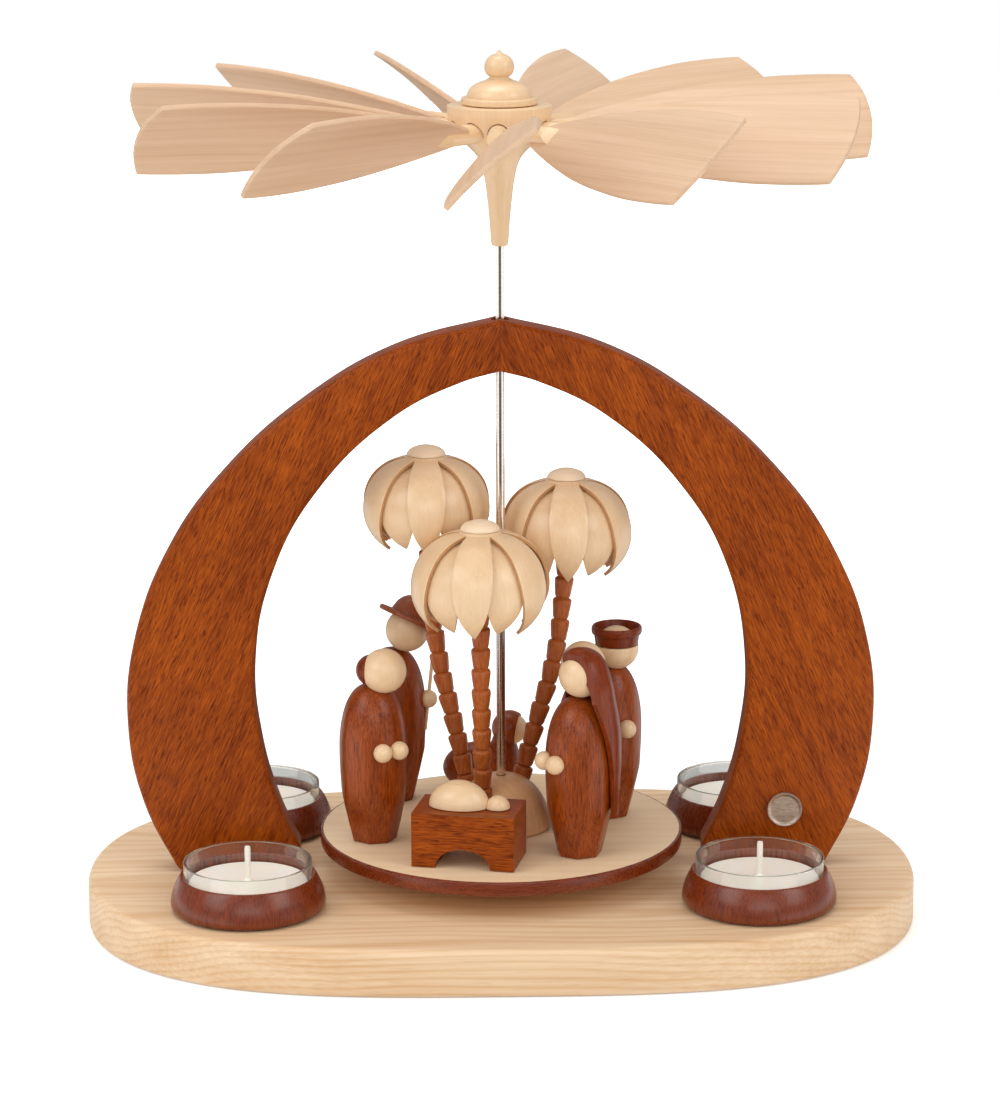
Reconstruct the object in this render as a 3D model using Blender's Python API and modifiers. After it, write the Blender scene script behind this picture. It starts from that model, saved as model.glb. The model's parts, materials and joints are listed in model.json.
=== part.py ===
"""Candle carousel: a pointed arch over an oval board, with a fan of wooden blades that turns a
stage of turned figures and palms above four tealights.

Metres, +Z up. The origin is the middle of the board's underside, +X runs along the board and
the front is -Y. Every part is its own object in the collection "candle_carousel".
"""

import math

import bmesh
import bpy
from mathutils import Matrix, Vector

# Gaps between pieces that touch, pass through or turn in one another
FIT_GAP = 0.0003
RUNNING_GAP = 0.0010
CUT_OVERRUN = 0.002
MERGE_LIMIT = 0.00001

# Oval board
BOARD_LENGTH = 0.2852
BOARD_DEPTH = 0.1776
BOARD_THICKNESS = 0.016
BOARD_TOP_ROUNDING = 0.0026
BOARD_FOOT_ROUNDING = 0.0008
BOARD_END_POWER = 3.3
BOARD_SIDE_POWER = 2.14

# Pointed arch, sawn from two boards and glued at the top
ARCH_WIDTH = 0.2552
ARCH_HEIGHT = 0.192
ARCH_THICKNESS = 0.014
ARCH_ROUNDING = 0.0024
ARCH_WINDOW_WIDTH = 0.1682
ARCH_PEAK_DEPTH = 0.0175
ARCH_HEEL_HEIGHT = 0.0086

# Spindle, its guide in the top of the arch and its glass bearing
SPINDLE_RADIUS = 0.0015
SPINDLE_POINT_LENGTH = 0.004
BUSH_RADIUS = 0.0027
BUSH_INSET = 0.002
SOCKET_RADIUS = 0.0090
SOCKET_TOP_RADIUS = 0.0075
SOCKET_HEIGHT = 0.0042
GLASS_RADIUS = 0.0042
GLASS_THICKNESS = 0.0024
GLASS_DIMPLE_RADIUS = 0.0022
GLASS_DIMPLE_DEPTH = 0.0010

# Turntable
TURNTABLE_RADIUS = 0.0624
TURNTABLE_THICKNESS = 0.0050
TURNTABLE_CLEARANCE = 0.0089
TURNTABLE_ROUNDING = 0.0005
BOSS_RADIUS = 0.0105
BOSS_FLARE = 0.0035

# Maker's disc on the right leg, left plain
DISC_RADIUS = 0.0061
DISC_THICKNESS = 0.0009
DISC_RIM_WIDTH = 0.0009
DISC_RIM_HEIGHT = 0.0003
DISC_ACROSS = 0.0974
DISC_HEIGHT = 0.0212

# Tealight rings, glasses and candles
TEALIGHT_CLEARANCE = 0.00801
TEALIGHT_BEARING = math.radians(27.28)
RING_RADIUS = 0.0259
RING_HEIGHT = 0.0118
RING_FLOOR = 0.0014
RING_LIP = 0.0008
GLASS_CUP_RADIUS = 0.0215
GLASS_CUP_HEIGHT = 0.0144
GLASS_CUP_WALL = 0.0016
GLASS_CUP_FOOT_ROUNDING = 0.0014
WAX_RADIUS = 0.0189
WAX_HEIGHT = 0.0056
WAX_ROUNDING = 0.0006
WICK_RADIUS = 0.0008
WICK_HEIGHT = 0.0122

# Fan: hub, cap and eleven blades
BLADE_COUNT = 11
FIRST_BLADE_ANGLE = math.radians(-92.6)
BLADE_PITCH = math.radians(41.0)
BLADE_RISE = math.radians(1.6)
HUB_CLEARANCE = 0.0242
FAN_RADIUS = 0.1262
BLADE_ROOT_RADIUS = 0.0225
BLADE_HALF_WIDTH = 0.0190
BLADE_THICKNESS = 0.0018
BLADE_END_BULGE = 0.0050
BLADE_CAMBER = 0.0022
STEM_RADIUS = 0.0033
STEM_REACH = 0.0345
TENON_RADIUS = 0.0016
TENON_INNER_RADIUS = 0.0095
HUB_RADIUS = 0.0174
HUB_BOWL_HEIGHT = 0.0162
HUB_NECK_LENGTH = 0.0307
HUB_SEAT_RADIUS = 0.0135
HUB_TOP_RISE = 0.0086
HUB_BORE_RISE = 0.0030
CAP_RADIUS = 0.0126
CAP_PLATE_THICKNESS = 0.0021
CAP_BELL_HEIGHT = 0.0062
FINIAL_RADIUS = 0.0048
FINIAL_HEIGHT = 0.0080
FINIAL_NECK_RADIUS = 0.0033
FINIAL_TIP_HEIGHT = 0.0014

# Mound and palms
MOUND_RADIUS = 0.0170
MOUND_HEIGHT = 0.0180
TRUNK_RADIUS = 0.0033
TRUNK_BEAD_LENGTH = 0.0074
TRUNK_SOCKET_DEPTH = 0.0035
TRUNK_PIN_RADIUS = 0.0015
FROND_THICKNESS = 0.0011
FROND_LAYER_STEP = 0.0017
FRONDS_IN_A_LAYER = 6
CROWN_BOSS_RADIUS = 0.0065
CROWN_BOSS_FOOT_RADIUS = 0.0082
CROWN_BOSS_HEIGHT = 0.0042
CROWN_BUTTON_RADIUS = 0.0066
CROWN_BUTTON_HEIGHT = 0.0030

# Standing figures
FIGURE_HEIGHT = 0.0550
FIGURE_RADIUS = 0.0115
FIGURE_FLATS = 7
FIGURE_SPACING = 0.0004
REAR_FIGURE_ANGLE = math.radians(83.0)
CROWNED_FIGURE_ANGLE = math.radians(65.5)
REAR_FIGURE_RADIUS = 0.0098
HEAD_RADIUS = 0.0076
HEAD_RISE = 0.0600
HAND_RADIUS = 0.0032
HAND_RISE = 0.0335
HAIR_RADIUS = 0.0054
HAIR_THICKNESS = 0.0021
HAIR_BEARING = math.radians(166.0)
HAT_BRIM_RADIUS = 0.0122
HAT_BRIM_THICKNESS = 0.0017
HAT_DOME_HEIGHT = 0.0074
HAT_TILT = math.radians(24.0)
HAT_LEAN = math.radians(-13.0)
STAFF_RADIUS = 0.0006
STAFF_LENGTH = 0.0270
STAFF_TILT = math.radians(6.0)
STAFF_HAND_LIFT = 0.0030
STAFF_HAND_ANGLE = math.radians(-10.0)
CROWN_RADIUS = 0.0087
CROWN_HEIGHT = 0.0064
CROWN_WALL = 0.0012
CROWN_REBATE = 0.0015
VEIL_THICKNESS = 0.0020
VEIL_LENGTH = 0.0560
VEIL_EASE = 0.0006
VEIL_BROW_REACH = 0.0027
VEIL_OPENING_ANGLE = math.radians(-139.0)
VEIL_SLANT = math.radians(15.0)

# Kneeling figure
KNEELER_LENGTH = 0.0272
KNEELER_WIDTH = 0.0150
KNEELER_HEIGHT = 0.0160
KNEELER_HEAD_RADIUS = 0.0064
KNEELER_HEAD_RISE = 0.0210

# Crib and infant
CRIB_LENGTH = 0.0348
CRIB_DEPTH = 0.0220
CRIB_HEIGHT = 0.0184
CRIB_TURN = math.radians(-12.6)
CRIB_ROUNDING = 0.0005
CRIB_ARCH_WIDTH = 0.0187
CRIB_ARCH_HEIGHT = 0.0067
INFANT_LENGTH = 0.0206
INFANT_WIDTH = 0.0140
INFANT_HEIGHT = 0.0087
INFANT_HEAD_RADIUS = 0.0041

# How finely the round shapes are faceted
TURNED_STEPS = 20
SMALL_STEPS = 14
FINE_STEPS = 36
BALL_SEGMENTS = 12
BALL_RINGS = 7

# Outlines and places, as shares of the sizes named beside them
# Arch: across its half width, up its height
ARCH_OUTER_SHARES = [(0.872, 0.0), (0.961, 0.125), (1.0, 0.27), (0.979, 0.425),
                     (0.887, 0.585), (0.738, 0.724), (0.509, 0.8615), (0.273, 0.951)]
ARCH_PEAK_OUTER_SHARE = 1.0
# Window: across its half width, up its height
ARCH_INNER_SHARES = [(0.155, 0.979), (0.432, 0.910), (0.744, 0.761), (0.914, 0.611),
                     (0.999, 0.420), (0.978, 0.264), (0.902, 0.130)]
ARCH_HEEL_SHARE = 0.826
# Tealight ring, top to bottom: across its radius, up its height
RING_SHARES = [(0.876, 0.96), (1.0, 0.24), (0.965, 0.06), (0.870, 0.0)]
# Hub bowl and neck: across the hub's radius, down the bowl or the neck
HUB_BOWL_SHARES = [(1.0, 0.0), (1.0, 0.17), (0.900, 0.46), (0.753, 0.70), (0.446, 1.0)]
HUB_NECK_SHARES = [(0.345, 0.10), (0.247, 0.30), (0.202, 0.62), (0.169, 0.94), (0.148, 1.0)]
# Cap's bell: between the finial's neck and the plate, down the bell
BELL_SHARES = [(0.02, 0.0), (0.16, 0.12), (0.45, 0.28), (0.68, 0.56), (0.79, 1.0)]
# Stem's nose, as a share of its radius
STEM_NOSE_SHARE = 0.55
# Blade: half width along its length from root to corner
BLADE_WIDTH_SHARES = [(0.0, 0.20), (0.10, 0.38), (0.26, 0.62), (0.42, 0.81), (0.60, 0.94),
                      (0.76, 1.0), (0.90, 0.99), (1.0, 0.955)]
# Mound: across its radius, up its height
MOUND_SHARES = [(0.42, 0.935), (0.68, 0.76), (0.86, 0.52), (0.97, 0.24), (1.0, 0.0)]
# Trunk: sideways on the way from foot to crown, against its height
TRUNK_BEND_SHARES = [(0.0, 0.0), (0.13, 0.20), (0.25, 0.42), (0.36, 0.64), (0.50, 0.84),
                     (0.70, 0.96), (1.0, 1.0)]
TRUNK_WAIST_SHARE = 0.74
TRUNK_SHOULDER_SHARE = 0.14
# Frond: half of its turn round the crown, in the room that it has, from its root to its point
FROND_WIDTH_SHARES = [(0.0, 0.94), (0.06, 0.88), (0.26, 0.68), (0.42, 0.62), (0.56, 0.57),
                      (0.78, 0.42), (0.89, 0.27), (1.0, 0.03)]
FROND_START_SHARE = 0.03
FROND_REACH_SHARE = 0.77
# How full the crown's shoulder is: below 1 it bulges out past a plain round side
FROND_SHOULDER_POWER = 0.72
# Figure's turned body: across its radius, up its height
FIGURE_SHARES = [(0.36, 0.98), (0.62, 0.930), (0.84, 0.835), (0.97, 0.70),
                 (1.0, 0.55), (0.96, 0.35), (0.83, 0.15), (0.70, 0.0)]
FIGURE_FLAT_FOOT_SHARE = 0.60
FIGURE_FLAT_TOP_SHARE = 1.95
# Middle of each head from the middle of its body's foot: across, deep and above the usual rise
FRONT_LEFT_HEAD_SHARES = (0.53, -0.30, -0.04)
SHEPHERD_HEAD_SHARES = (0.68, -0.30, 0.22)
VEILED_HEAD_SHARES = (0.06, -0.20, 0.34)
REAR_HEAD_SHARES = (-0.10, -0.20, 0.0)
CROWNED_HEAD_SHARES = (0.35, -0.10, 0.0)
# Hair, hat, veil and crown, as shares of the head's radius
HAT_SEAT_SHARE = 0.42
HAT_DOME_SHARE = 1.02
VEIL_CHEEK_SHARE = 0.20
CROWN_LEDGE_SHARE = 0.16
CROWN_BAND_SHARE = 1.01
# Where the veil is widest, up the figure, how deep a hand is let in, in its own radius, and the
# hand's place up the staff
VEIL_WIDEST_SHARE = 0.84
HAND_REACH_SHARE = 0.33
STAFF_FOOT_SHARE = 0.42
# Kneeler: middle and half height of its body, then its head and shoulders
KNEELER_MIDDLE_SHARE = 0.42
KNEELER_HEAD_SHARE = 0.38
KNEELER_SHOULDER_SHARES = (0.30, 0.20)
KNEELER_SHOULDER_WIDTH_SHARE = 0.42
KNEELER_SHOULDER_HEIGHT_SHARE = 0.75
KNEELER_NECK_SHARE = 0.50
# Infant: its middle and its head, in its head's radius
INFANT_MIDDLE_SHARE = 0.80
INFANT_NECK_SHARE = 0.70
# Places on the turntable, as shares of its radius
FRONT_LEFT_PLACE_SHARES = (-0.702, -0.213)
SHEPHERD_PLACE_SHARES = (-0.598, 0.534)
VEILED_PLACE_SHARES = (0.411, -0.505)
KNEELER_PLACE_SHARES = (-0.10, 0.750)
CRIB_PLACE_SHARES = (-0.186, -0.603)
# Palms: foot on the mound and crown on the turntable, as shares of those radii, and the crown's
# height as a share of the way from the stage to the top of the window
PALMS = {
    "front": {"foot_shares": (-0.38, -0.58), "top_shares": (-0.115, -0.280),
              "height_share": 0.6799, "spread": 0.0236, "drop": 0.0334, "turn": math.radians(22)},
    "left": {"foot_shares": (-0.64, 0.20), "top_shares": (-0.402, 0.245),
             "height_share": 0.7976, "spread": 0.0224, "drop": 0.0312, "turn": math.radians(30)},
    "right": {"foot_shares": (0.38, 0.38), "top_shares": (0.368, 0.240),
              "height_share": 0.7454, "spread": 0.0229, "drop": 0.0325, "turn": math.radians(30)},
}

# Heights that follow from the sizes above
BOARD_TOP = BOARD_THICKNESS
ARCH_FOOT = BOARD_TOP + FIT_GAP
ARCH_TOP = BOARD_TOP + ARCH_HEIGHT
WINDOW_TOP = ARCH_TOP - ARCH_PEAK_DEPTH
FAN_HEIGHT = ARCH_TOP + HUB_CLEARANCE + HUB_NECK_LENGTH + HUB_BOWL_HEIGHT - HUB_TOP_RISE
TEALIGHT_REACH = TURNTABLE_RADIUS + TEALIGHT_CLEARANCE + RING_RADIUS
STAGE_UNDERSIDE = BOARD_TOP + TURNTABLE_CLEARANCE
STAGE_TOP = STAGE_UNDERSIDE + TURNTABLE_THICKNESS
SOCKET_TOP = BOARD_TOP + FIT_GAP + SOCKET_HEIGHT
GLASS_TOP = SOCKET_TOP - FIT_GAP
SPINDLE_FOOT = GLASS_TOP - GLASS_DIMPLE_DEPTH + FIT_GAP
SPINDLE_TOP = FAN_HEIGHT + HUB_BORE_RISE - FIT_GAP
PART_COLLECTION = "candle_carousel"
CUTTER_COLLECTION = "cutters"


def clear_scene():
    for scene_object in list(bpy.data.objects):
        bpy.data.objects.remove(scene_object, do_unlink=True)


def collection(name):
    made = bpy.data.collections.get(name)
    if made is None:
        made = bpy.data.collections.new(name)
        bpy.context.scene.collection.children.link(made)
    return made


def material(name, colour, roughness, metallic=0.0, transmission=0.0):
    made = bpy.data.materials.get(name) or bpy.data.materials.new(name)
    made.use_nodes = True
    shader = made.node_tree.nodes["Principled BSDF"]
    shader.inputs["Base Color"].default_value = (*colour, 1.0)
    shader.inputs["Roughness"].default_value = roughness
    shader.inputs["Metallic"].default_value = metallic
    shader.inputs["Transmission Weight"].default_value = transmission
    made.diffuse_color = (*colour, 1.0)
    return made


def ash():
    return material("ash", (0.80, 0.62, 0.42), 0.45)


def maple():
    return material("maple", (0.83, 0.66, 0.45), 0.50)


def mahogany():
    return material("mahogany", (0.38, 0.12, 0.03), 0.35)


def walnut():
    return material("stained walnut", (0.27, 0.09, 0.04), 0.35)


def steel():
    return material("polished steel", (0.60, 0.58, 0.55), 0.25, metallic=1.0)


def brass():
    return material("brass", (0.75, 0.55, 0.25), 0.30, metallic=1.0)


def clear_glass():
    return material("clear glass", (0.93, 0.97, 0.95), 0.05, transmission=1.0)


def wax():
    return material("white wax", (0.93, 0.91, 0.85), 0.55)


def place(name, mesh, finish=None, where=PART_COLLECTION, matrix=None):
    """Puts a mesh into the scene as a named object."""
    made = bpy.data.objects.new(name, mesh)
    collection(where).objects.link(made)
    if matrix is not None:
        made.matrix_world = matrix
    if finish is not None and not mesh.materials:
        mesh.materials.append(finish)
    return made


def moved(x=0.0, y=0.0, z=0.0):
    return Matrix.Translation((x, y, z))


def turned_about(axis, angle):
    return Matrix.Rotation(angle, 4, axis)


def frozen(scene_object):
    """The object's mesh with its modifiers applied and coincident points welded."""
    bpy.context.view_layer.update()
    graph = bpy.context.evaluated_depsgraph_get()
    mesh = bpy.data.meshes.new_from_object(scene_object.evaluated_get(graph))
    body = bmesh.new()
    body.from_mesh(mesh)
    bmesh.ops.remove_doubles(body, verts=body.verts, dist=MERGE_LIMIT)
    bmesh.ops.recalc_face_normals(body, faces=body.faces)
    body.to_mesh(mesh)
    body.free()
    return mesh


def freeze(scene_object):
    """Replaces an object by a plain mesh object of the same name, place and material."""
    name = scene_object.name
    matrix = scene_object.matrix_world.copy()
    mesh = frozen(scene_object)
    owner = scene_object.users_collection[0].name
    bpy.data.objects.remove(scene_object, do_unlink=True)
    return place(name, mesh, where=owner, matrix=matrix)


def turned(name, profile, finish, steps=TURNED_STEPS, matrix=None, where=PART_COLLECTION,
           closed=False):
    """A turned piece: (radius, height) points, down the outside first, spun about local Z."""
    mesh = bpy.data.meshes.new(name)
    points = [(radius, 0.0, height) for radius, height in profile]
    edges = [(index, index + 1) for index in range(len(points) - 1)]
    if closed:
        edges.append((len(points) - 1, 0))
    mesh.from_pydata(points, edges, [])
    made = place(name, mesh, finish, where, matrix)
    screw = made.modifiers.new("spun on the lathe", "SCREW")
    screw.steps = steps
    screw.render_steps = steps
    screw.use_merge_vertices = True
    screw.merge_threshold = MERGE_LIMIT
    screw.use_smooth_shade = True
    return made


def ball(name, radius, finish=None, matrix=None, where=PART_COLLECTION,
         segments=BALL_SEGMENTS, rings=BALL_RINGS):
    mesh = bpy.data.meshes.new(name)
    body = bmesh.new()
    bmesh.ops.create_uvsphere(body, u_segments=segments, v_segments=rings, radius=radius)
    body.to_mesh(mesh)
    body.free()
    mesh.shade_smooth()
    return place(name, mesh, finish, where, matrix)


def cylinder(name, radius, length, finish=None, matrix=None, where=PART_COLLECTION,
             end_radius=None, steps=SMALL_STEPS):
    """A cylinder or cone standing on local Z = 0."""
    mesh = bpy.data.meshes.new(name)
    body = bmesh.new()
    bmesh.ops.create_cone(body, cap_ends=True, segments=steps, radius1=radius,
                          radius2=radius if end_radius is None else end_radius, depth=length,
                          matrix=moved(z=length / 2))
    body.to_mesh(mesh)
    body.free()
    return place(name, mesh, finish, where, matrix)


def box(name, length, depth, height, finish=None, matrix=None, where=PART_COLLECTION):
    """A box centred in X and Y, standing on local Z = 0."""
    mesh = bpy.data.meshes.new(name)
    body = bmesh.new()
    bmesh.ops.create_cube(body, size=1.0, matrix=moved(z=height / 2) @ Matrix.Diagonal(
        (length, depth, height, 1.0)))
    body.to_mesh(mesh)
    body.free()
    return place(name, mesh, finish, where, matrix)


def hide_cutter(cutter):
    cutter.hide_render = True
    cutter.display_type = "WIRE"


def combine(target, tool, operation):
    """Cuts, joins or trims one object with another that goes to the cutters."""
    for owner in list(tool.users_collection):
        owner.objects.unlink(tool)
    collection(CUTTER_COLLECTION).objects.link(tool)
    hide_cutter(tool)
    change = target.modifiers.new(operation.lower(), "BOOLEAN")
    change.operation = operation
    change.object = tool
    return target


def cut(target, tool):
    return combine(target, tool, "DIFFERENCE")


def join(target, tool):
    return combine(target, tool, "UNION")


def trim(target, tool):
    return combine(target, tool, "INTERSECT")


def extruded(name, spline_maker, thickness, finish, matrix=None):
    """A filled 2D curve in local XY, as thick as asked, made a mesh object."""
    curve = bpy.data.curves.new(name, "CURVE")
    curve.dimensions = "2D"
    curve.fill_mode = "BOTH"
    curve.extrude = thickness / 2
    spline_maker(curve)
    curve.render_resolution_u = 0
    made = bpy.data.objects.new(name, curve)
    collection(PART_COLLECTION).objects.link(made)
    if matrix is not None:
        made.matrix_world = matrix
    made = freeze(made)
    body = bmesh.new()
    body.from_mesh(made.data)
    bmesh.ops.dissolve_limit(body, angle_limit=math.radians(0.5), verts=body.verts,
                             edges=body.edges)
    body.to_mesh(made.data)
    body.free()
    made.data.materials.append(finish)
    return made


def curve_point(shares, at):
    """Linear reading of a table of (position, value) shares."""
    for (left, low), (right, high) in zip(shares, shares[1:]):
        if at <= right:
            return low + (high - low) * (at - left) / (right - left)
    return shares[-1][1]


def arc(centre_radius, centre_height, radius, height, start, end, count):
    """Points along an elliptical arc, angles measured from the horizontal."""
    points = []
    for index in range(count):
        angle = start + (end - start) * index / (count - 1)
        points.append((centre_radius + radius * math.cos(angle),
                       centre_height + height * math.sin(angle)))
    return points


def make_board():
    """Oval board: flatter along its sides than round its ends, top edge well rounded."""
    def outline(curve):
        count = 48
        spline = curve.splines.new("POLY")
        spline.points.add(count - 1)
        for index, point in enumerate(spline.points):
            angle = math.tau * index / count
            across, deep = math.cos(angle), math.sin(angle)
            x = math.copysign(abs(across) ** (2 / BOARD_END_POWER), across)
            y = math.copysign(abs(deep) ** (2 / BOARD_SIDE_POWER), deep)
            point.co = (x * BOARD_LENGTH / 2, y * BOARD_DEPTH / 2, 0.0, 1.0)
        spline.use_cyclic_u = True

    board = extruded("board", outline, BOARD_THICKNESS, ash(), moved(z=BOARD_THICKNESS / 2))
    body = bmesh.new()
    body.from_mesh(board.data)
    for side, rounding, steps in ((1, BOARD_TOP_ROUNDING, 2), (-1, BOARD_FOOT_ROUNDING, 1)):
        rim = [edge for edge in body.edges
               if all(vert.co.z * side > BOARD_THICKNESS / 4 for vert in edge.verts)
               and len(edge.link_faces) == 2 and edge.calc_face_angle() > math.radians(60)]
        bmesh.ops.bevel(body, geom=rim, offset=rounding, segments=steps, profile=0.5,
                        affect="EDGES")
    body.to_mesh(board.data)
    body.free()


def arch_outline(curve):
    """The whole arch: up the right leg, over the point, down the left, round the window."""
    half = ARCH_WIDTH / 2
    window = ARCH_WINDOW_WIDTH / 2
    rise = ARCH_TOP - ARCH_FOOT
    opening = WINDOW_TOP - ARCH_FOOT
    outer = [(across * half, up * rise) for across, up in ARCH_OUTER_SHARES]
    inner = [(across * window, up * opening) for across, up in ARCH_INNER_SHARES]
    heel = ARCH_HEEL_SHARE * window
    right = ([(outer[0], "VECTOR")] + [(point, "AUTO") for point in outer[1:]]
             + [((0.0, ARCH_PEAK_OUTER_SHARE * rise), "VECTOR")])
    left = [((-x, z), kind) for (x, z), kind in reversed(right[:-1])]
    heel_points = [((heel, ARCH_HEEL_HEIGHT), "VECTOR"), ((heel, 0.0), "VECTOR")]
    window_right = ([((0.0, opening), "VECTOR")] + [(point, "AUTO") for point in inner]
                    + heel_points)
    window_left = [((-x, z), kind) for (x, z), kind in reversed(window_right[1:])]
    points = right + left + window_left + window_right
    spline = curve.splines.new("BEZIER")
    spline.bezier_points.add(len(points) - 1)
    for point, ((x, z), kind) in zip(spline.bezier_points, points):
        point.co = (x, z, 0.0)
        point.handle_left_type = kind
        point.handle_right_type = kind
    spline.use_cyclic_u = True
    spline.resolution_u = 3
    curve.resolution_u = 3


def make_arch():
    """Two legs glued at the point, with the spindle's guide let into the joint."""
    upright = moved(z=ARCH_FOOT) @ turned_about("X", math.pi / 2)
    whole = extruded("arch", arch_outline, ARCH_THICKNESS, mahogany(), upright)
    rounding = whole.modifiers.new("rounded edges", "BEVEL")
    rounding.width = ARCH_ROUNDING
    rounding.segments = 2
    rounding.limit_method = "ANGLE"
    rounding.angle_limit = math.radians(55)
    whole = freeze(whole)
    for side, name in ((-1, "arch_left"), (1, "arch_right")):
        leg = place(name, whole.data.copy(), matrix=whole.matrix_world)
        reach = ARCH_WIDTH
        other_side = box(name + "_seam", reach, ARCH_THICKNESS + CUT_OVERRUN,
                         ARCH_TOP + CUT_OVERRUN,
                         matrix=moved(x=-side * (reach / 2 - FIT_GAP / 2)))
        cut(leg, other_side)
        bore = cylinder(name + "_bore", BUSH_RADIUS + FIT_GAP, ARCH_HEIGHT,
                        matrix=moved(z=WINDOW_TOP - CUT_OVERRUN))
        cut(leg, bore)
    bpy.data.objects.remove(whole, do_unlink=True)
    lower = WINDOW_TOP + BUSH_INSET
    upper = ARCH_TOP - BUSH_INSET
    inner = SPINDLE_RADIUS + FIT_GAP
    turned("guide_bush", [(BUSH_RADIUS, upper), (BUSH_RADIUS, lower), (inner, lower),
                          (inner, upper)], brass(), steps=SMALL_STEPS, closed=True)


def make_bearing():
    """Glass pan in a turned socket, and the pointed spindle that stands in it."""
    pan_radius = GLASS_RADIUS + FIT_GAP
    pan_floor = GLASS_TOP - GLASS_THICKNESS - FIT_GAP
    foot = BOARD_TOP + FIT_GAP
    turned("bearing_socket", [(pan_radius, SOCKET_TOP), (SOCKET_TOP_RADIUS, SOCKET_TOP),
                              (SOCKET_RADIUS, foot), (0.0, foot), (0.0, pan_floor),
                              (pan_radius, pan_floor)], walnut(), steps=SMALL_STEPS, closed=True)
    turned("bearing_glass", [(0.0, GLASS_TOP - GLASS_DIMPLE_DEPTH), (GLASS_DIMPLE_RADIUS, GLASS_TOP),
                             (GLASS_RADIUS, GLASS_TOP), (GLASS_RADIUS, GLASS_TOP - GLASS_THICKNESS),
                             (0.0, GLASS_TOP - GLASS_THICKNESS)], clear_glass(), steps=SMALL_STEPS)
    turned("spindle", [(0.0, SPINDLE_TOP), (SPINDLE_RADIUS, SPINDLE_TOP),
                       (SPINDLE_RADIUS, SPINDLE_FOOT + SPINDLE_POINT_LENGTH), (0.0, SPINDLE_FOOT)],
           steel(), steps=SMALL_STEPS)


def make_turntable():
    """Stage disc with a rounded rim and the boss that carries it on the spindle."""
    bore = SPINDLE_RADIUS + FIT_GAP
    edge = TURNTABLE_RADIUS
    soft = TURNTABLE_ROUNDING
    turned("turntable", [(bore, STAGE_TOP), (edge - soft, STAGE_TOP), (edge, STAGE_TOP - soft),
                         (edge, STAGE_UNDERSIDE + soft), (edge - soft, STAGE_UNDERSIDE),
                         (bore, STAGE_UNDERSIDE)], walnut(), steps=FINE_STEPS, closed=True)
    top = STAGE_UNDERSIDE - FIT_GAP
    bottom = SOCKET_TOP + RUNNING_GAP
    turned("turntable_boss", [(bore, top), (BOSS_RADIUS + BOSS_FLARE, top), (BOSS_RADIUS, bottom),
                              (bore, bottom)], walnut(), steps=TURNED_STEPS, closed=True)


def make_plain_disc():
    """Small metal disc with a raised rim, let on to the front of the right leg."""
    back = 0.0
    face = DISC_THICKNESS
    rim = face + DISC_RIM_HEIGHT
    inner = DISC_RADIUS - DISC_RIM_WIDTH
    matrix = (moved(DISC_ACROSS, -ARCH_THICKNESS / 2 - FIT_GAP, BOARD_TOP + DISC_HEIGHT)
              @ turned_about("X", math.pi / 2))
    turned("leg_disc", [(0.0, face), (inner, face), (inner, rim), (DISC_RADIUS, rim),
                        (DISC_RADIUS, back), (0.0, back)], steel(), matrix=matrix)


def tealight_places():
    """Number and middle of each tealight: front left, front right, back left, back right."""
    number = 0
    for deep in (-1, 1):
        for across in (-1, 1):
            number += 1
            yield (number, across * TEALIGHT_REACH * math.cos(TEALIGHT_BEARING),
                   deep * TEALIGHT_REACH * math.sin(TEALIGHT_BEARING))


def make_tealight(number, x, y):
    """A turned ring on the board, the glass that stands in it and the candle in the glass."""
    ring_foot = BOARD_TOP + FIT_GAP
    inner = GLASS_CUP_RADIUS + FIT_GAP
    floor = ring_foot + RING_FLOOR
    ring_top = ring_foot + RING_HEIGHT
    outside = [(across * RING_RADIUS, ring_foot + up * RING_HEIGHT) for across, up in RING_SHARES]
    turned(f"tealight_ring_{number}",
           [(0.0, floor), (inner, floor), (inner, ring_top - RING_LIP), (inner + RING_LIP / 2, ring_top)]
           + outside + [(0.0, ring_foot)], walnut(), matrix=moved(x, y))
    cup_foot = floor + FIT_GAP
    rim = cup_foot + GLASS_CUP_HEIGHT
    wall = GLASS_CUP_RADIUS - GLASS_CUP_WALL
    cup_floor = cup_foot + GLASS_CUP_WALL
    soft = GLASS_CUP_FOOT_ROUNDING
    lip = GLASS_CUP_WALL / 3
    turned(f"glass_cup_{number}",
           [(0.0, cup_floor), (wall, cup_floor), (wall, rim - lip), (wall + lip, rim),
            (GLASS_CUP_RADIUS - lip, rim), (GLASS_CUP_RADIUS, rim - lip),
            (GLASS_CUP_RADIUS, cup_foot + soft), (GLASS_CUP_RADIUS - soft, cup_foot),
            (0.0, cup_foot)], clear_glass(), matrix=moved(x, y))
    wax_foot = cup_floor + FIT_GAP
    wax_top = wax_foot + WAX_HEIGHT
    turned(f"candle_{number}",
           [(0.0, wax_top + WICK_HEIGHT), (WICK_RADIUS, wax_top + WICK_HEIGHT), (WICK_RADIUS, wax_top),
            (WAX_RADIUS - WAX_ROUNDING, wax_top), (WAX_RADIUS, wax_top - WAX_ROUNDING),
            (WAX_RADIUS, wax_foot), (0.0, wax_foot)], wax(), steps=SMALL_STEPS, matrix=moved(x, y))


def blade_matrix(index):
    """Frame of a blade: local X out along its stem, local Y across the blade, leading edge up."""
    angle = FIRST_BLADE_ANGLE + index * math.tau / BLADE_COUNT
    return (moved(z=FAN_HEIGHT) @ turned_about("Z", angle) @ turned_about("Y", -BLADE_RISE)
            @ moved(x=HUB_SEAT_RADIUS + FIT_GAP) @ turned_about("X", BLADE_PITCH))


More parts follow.
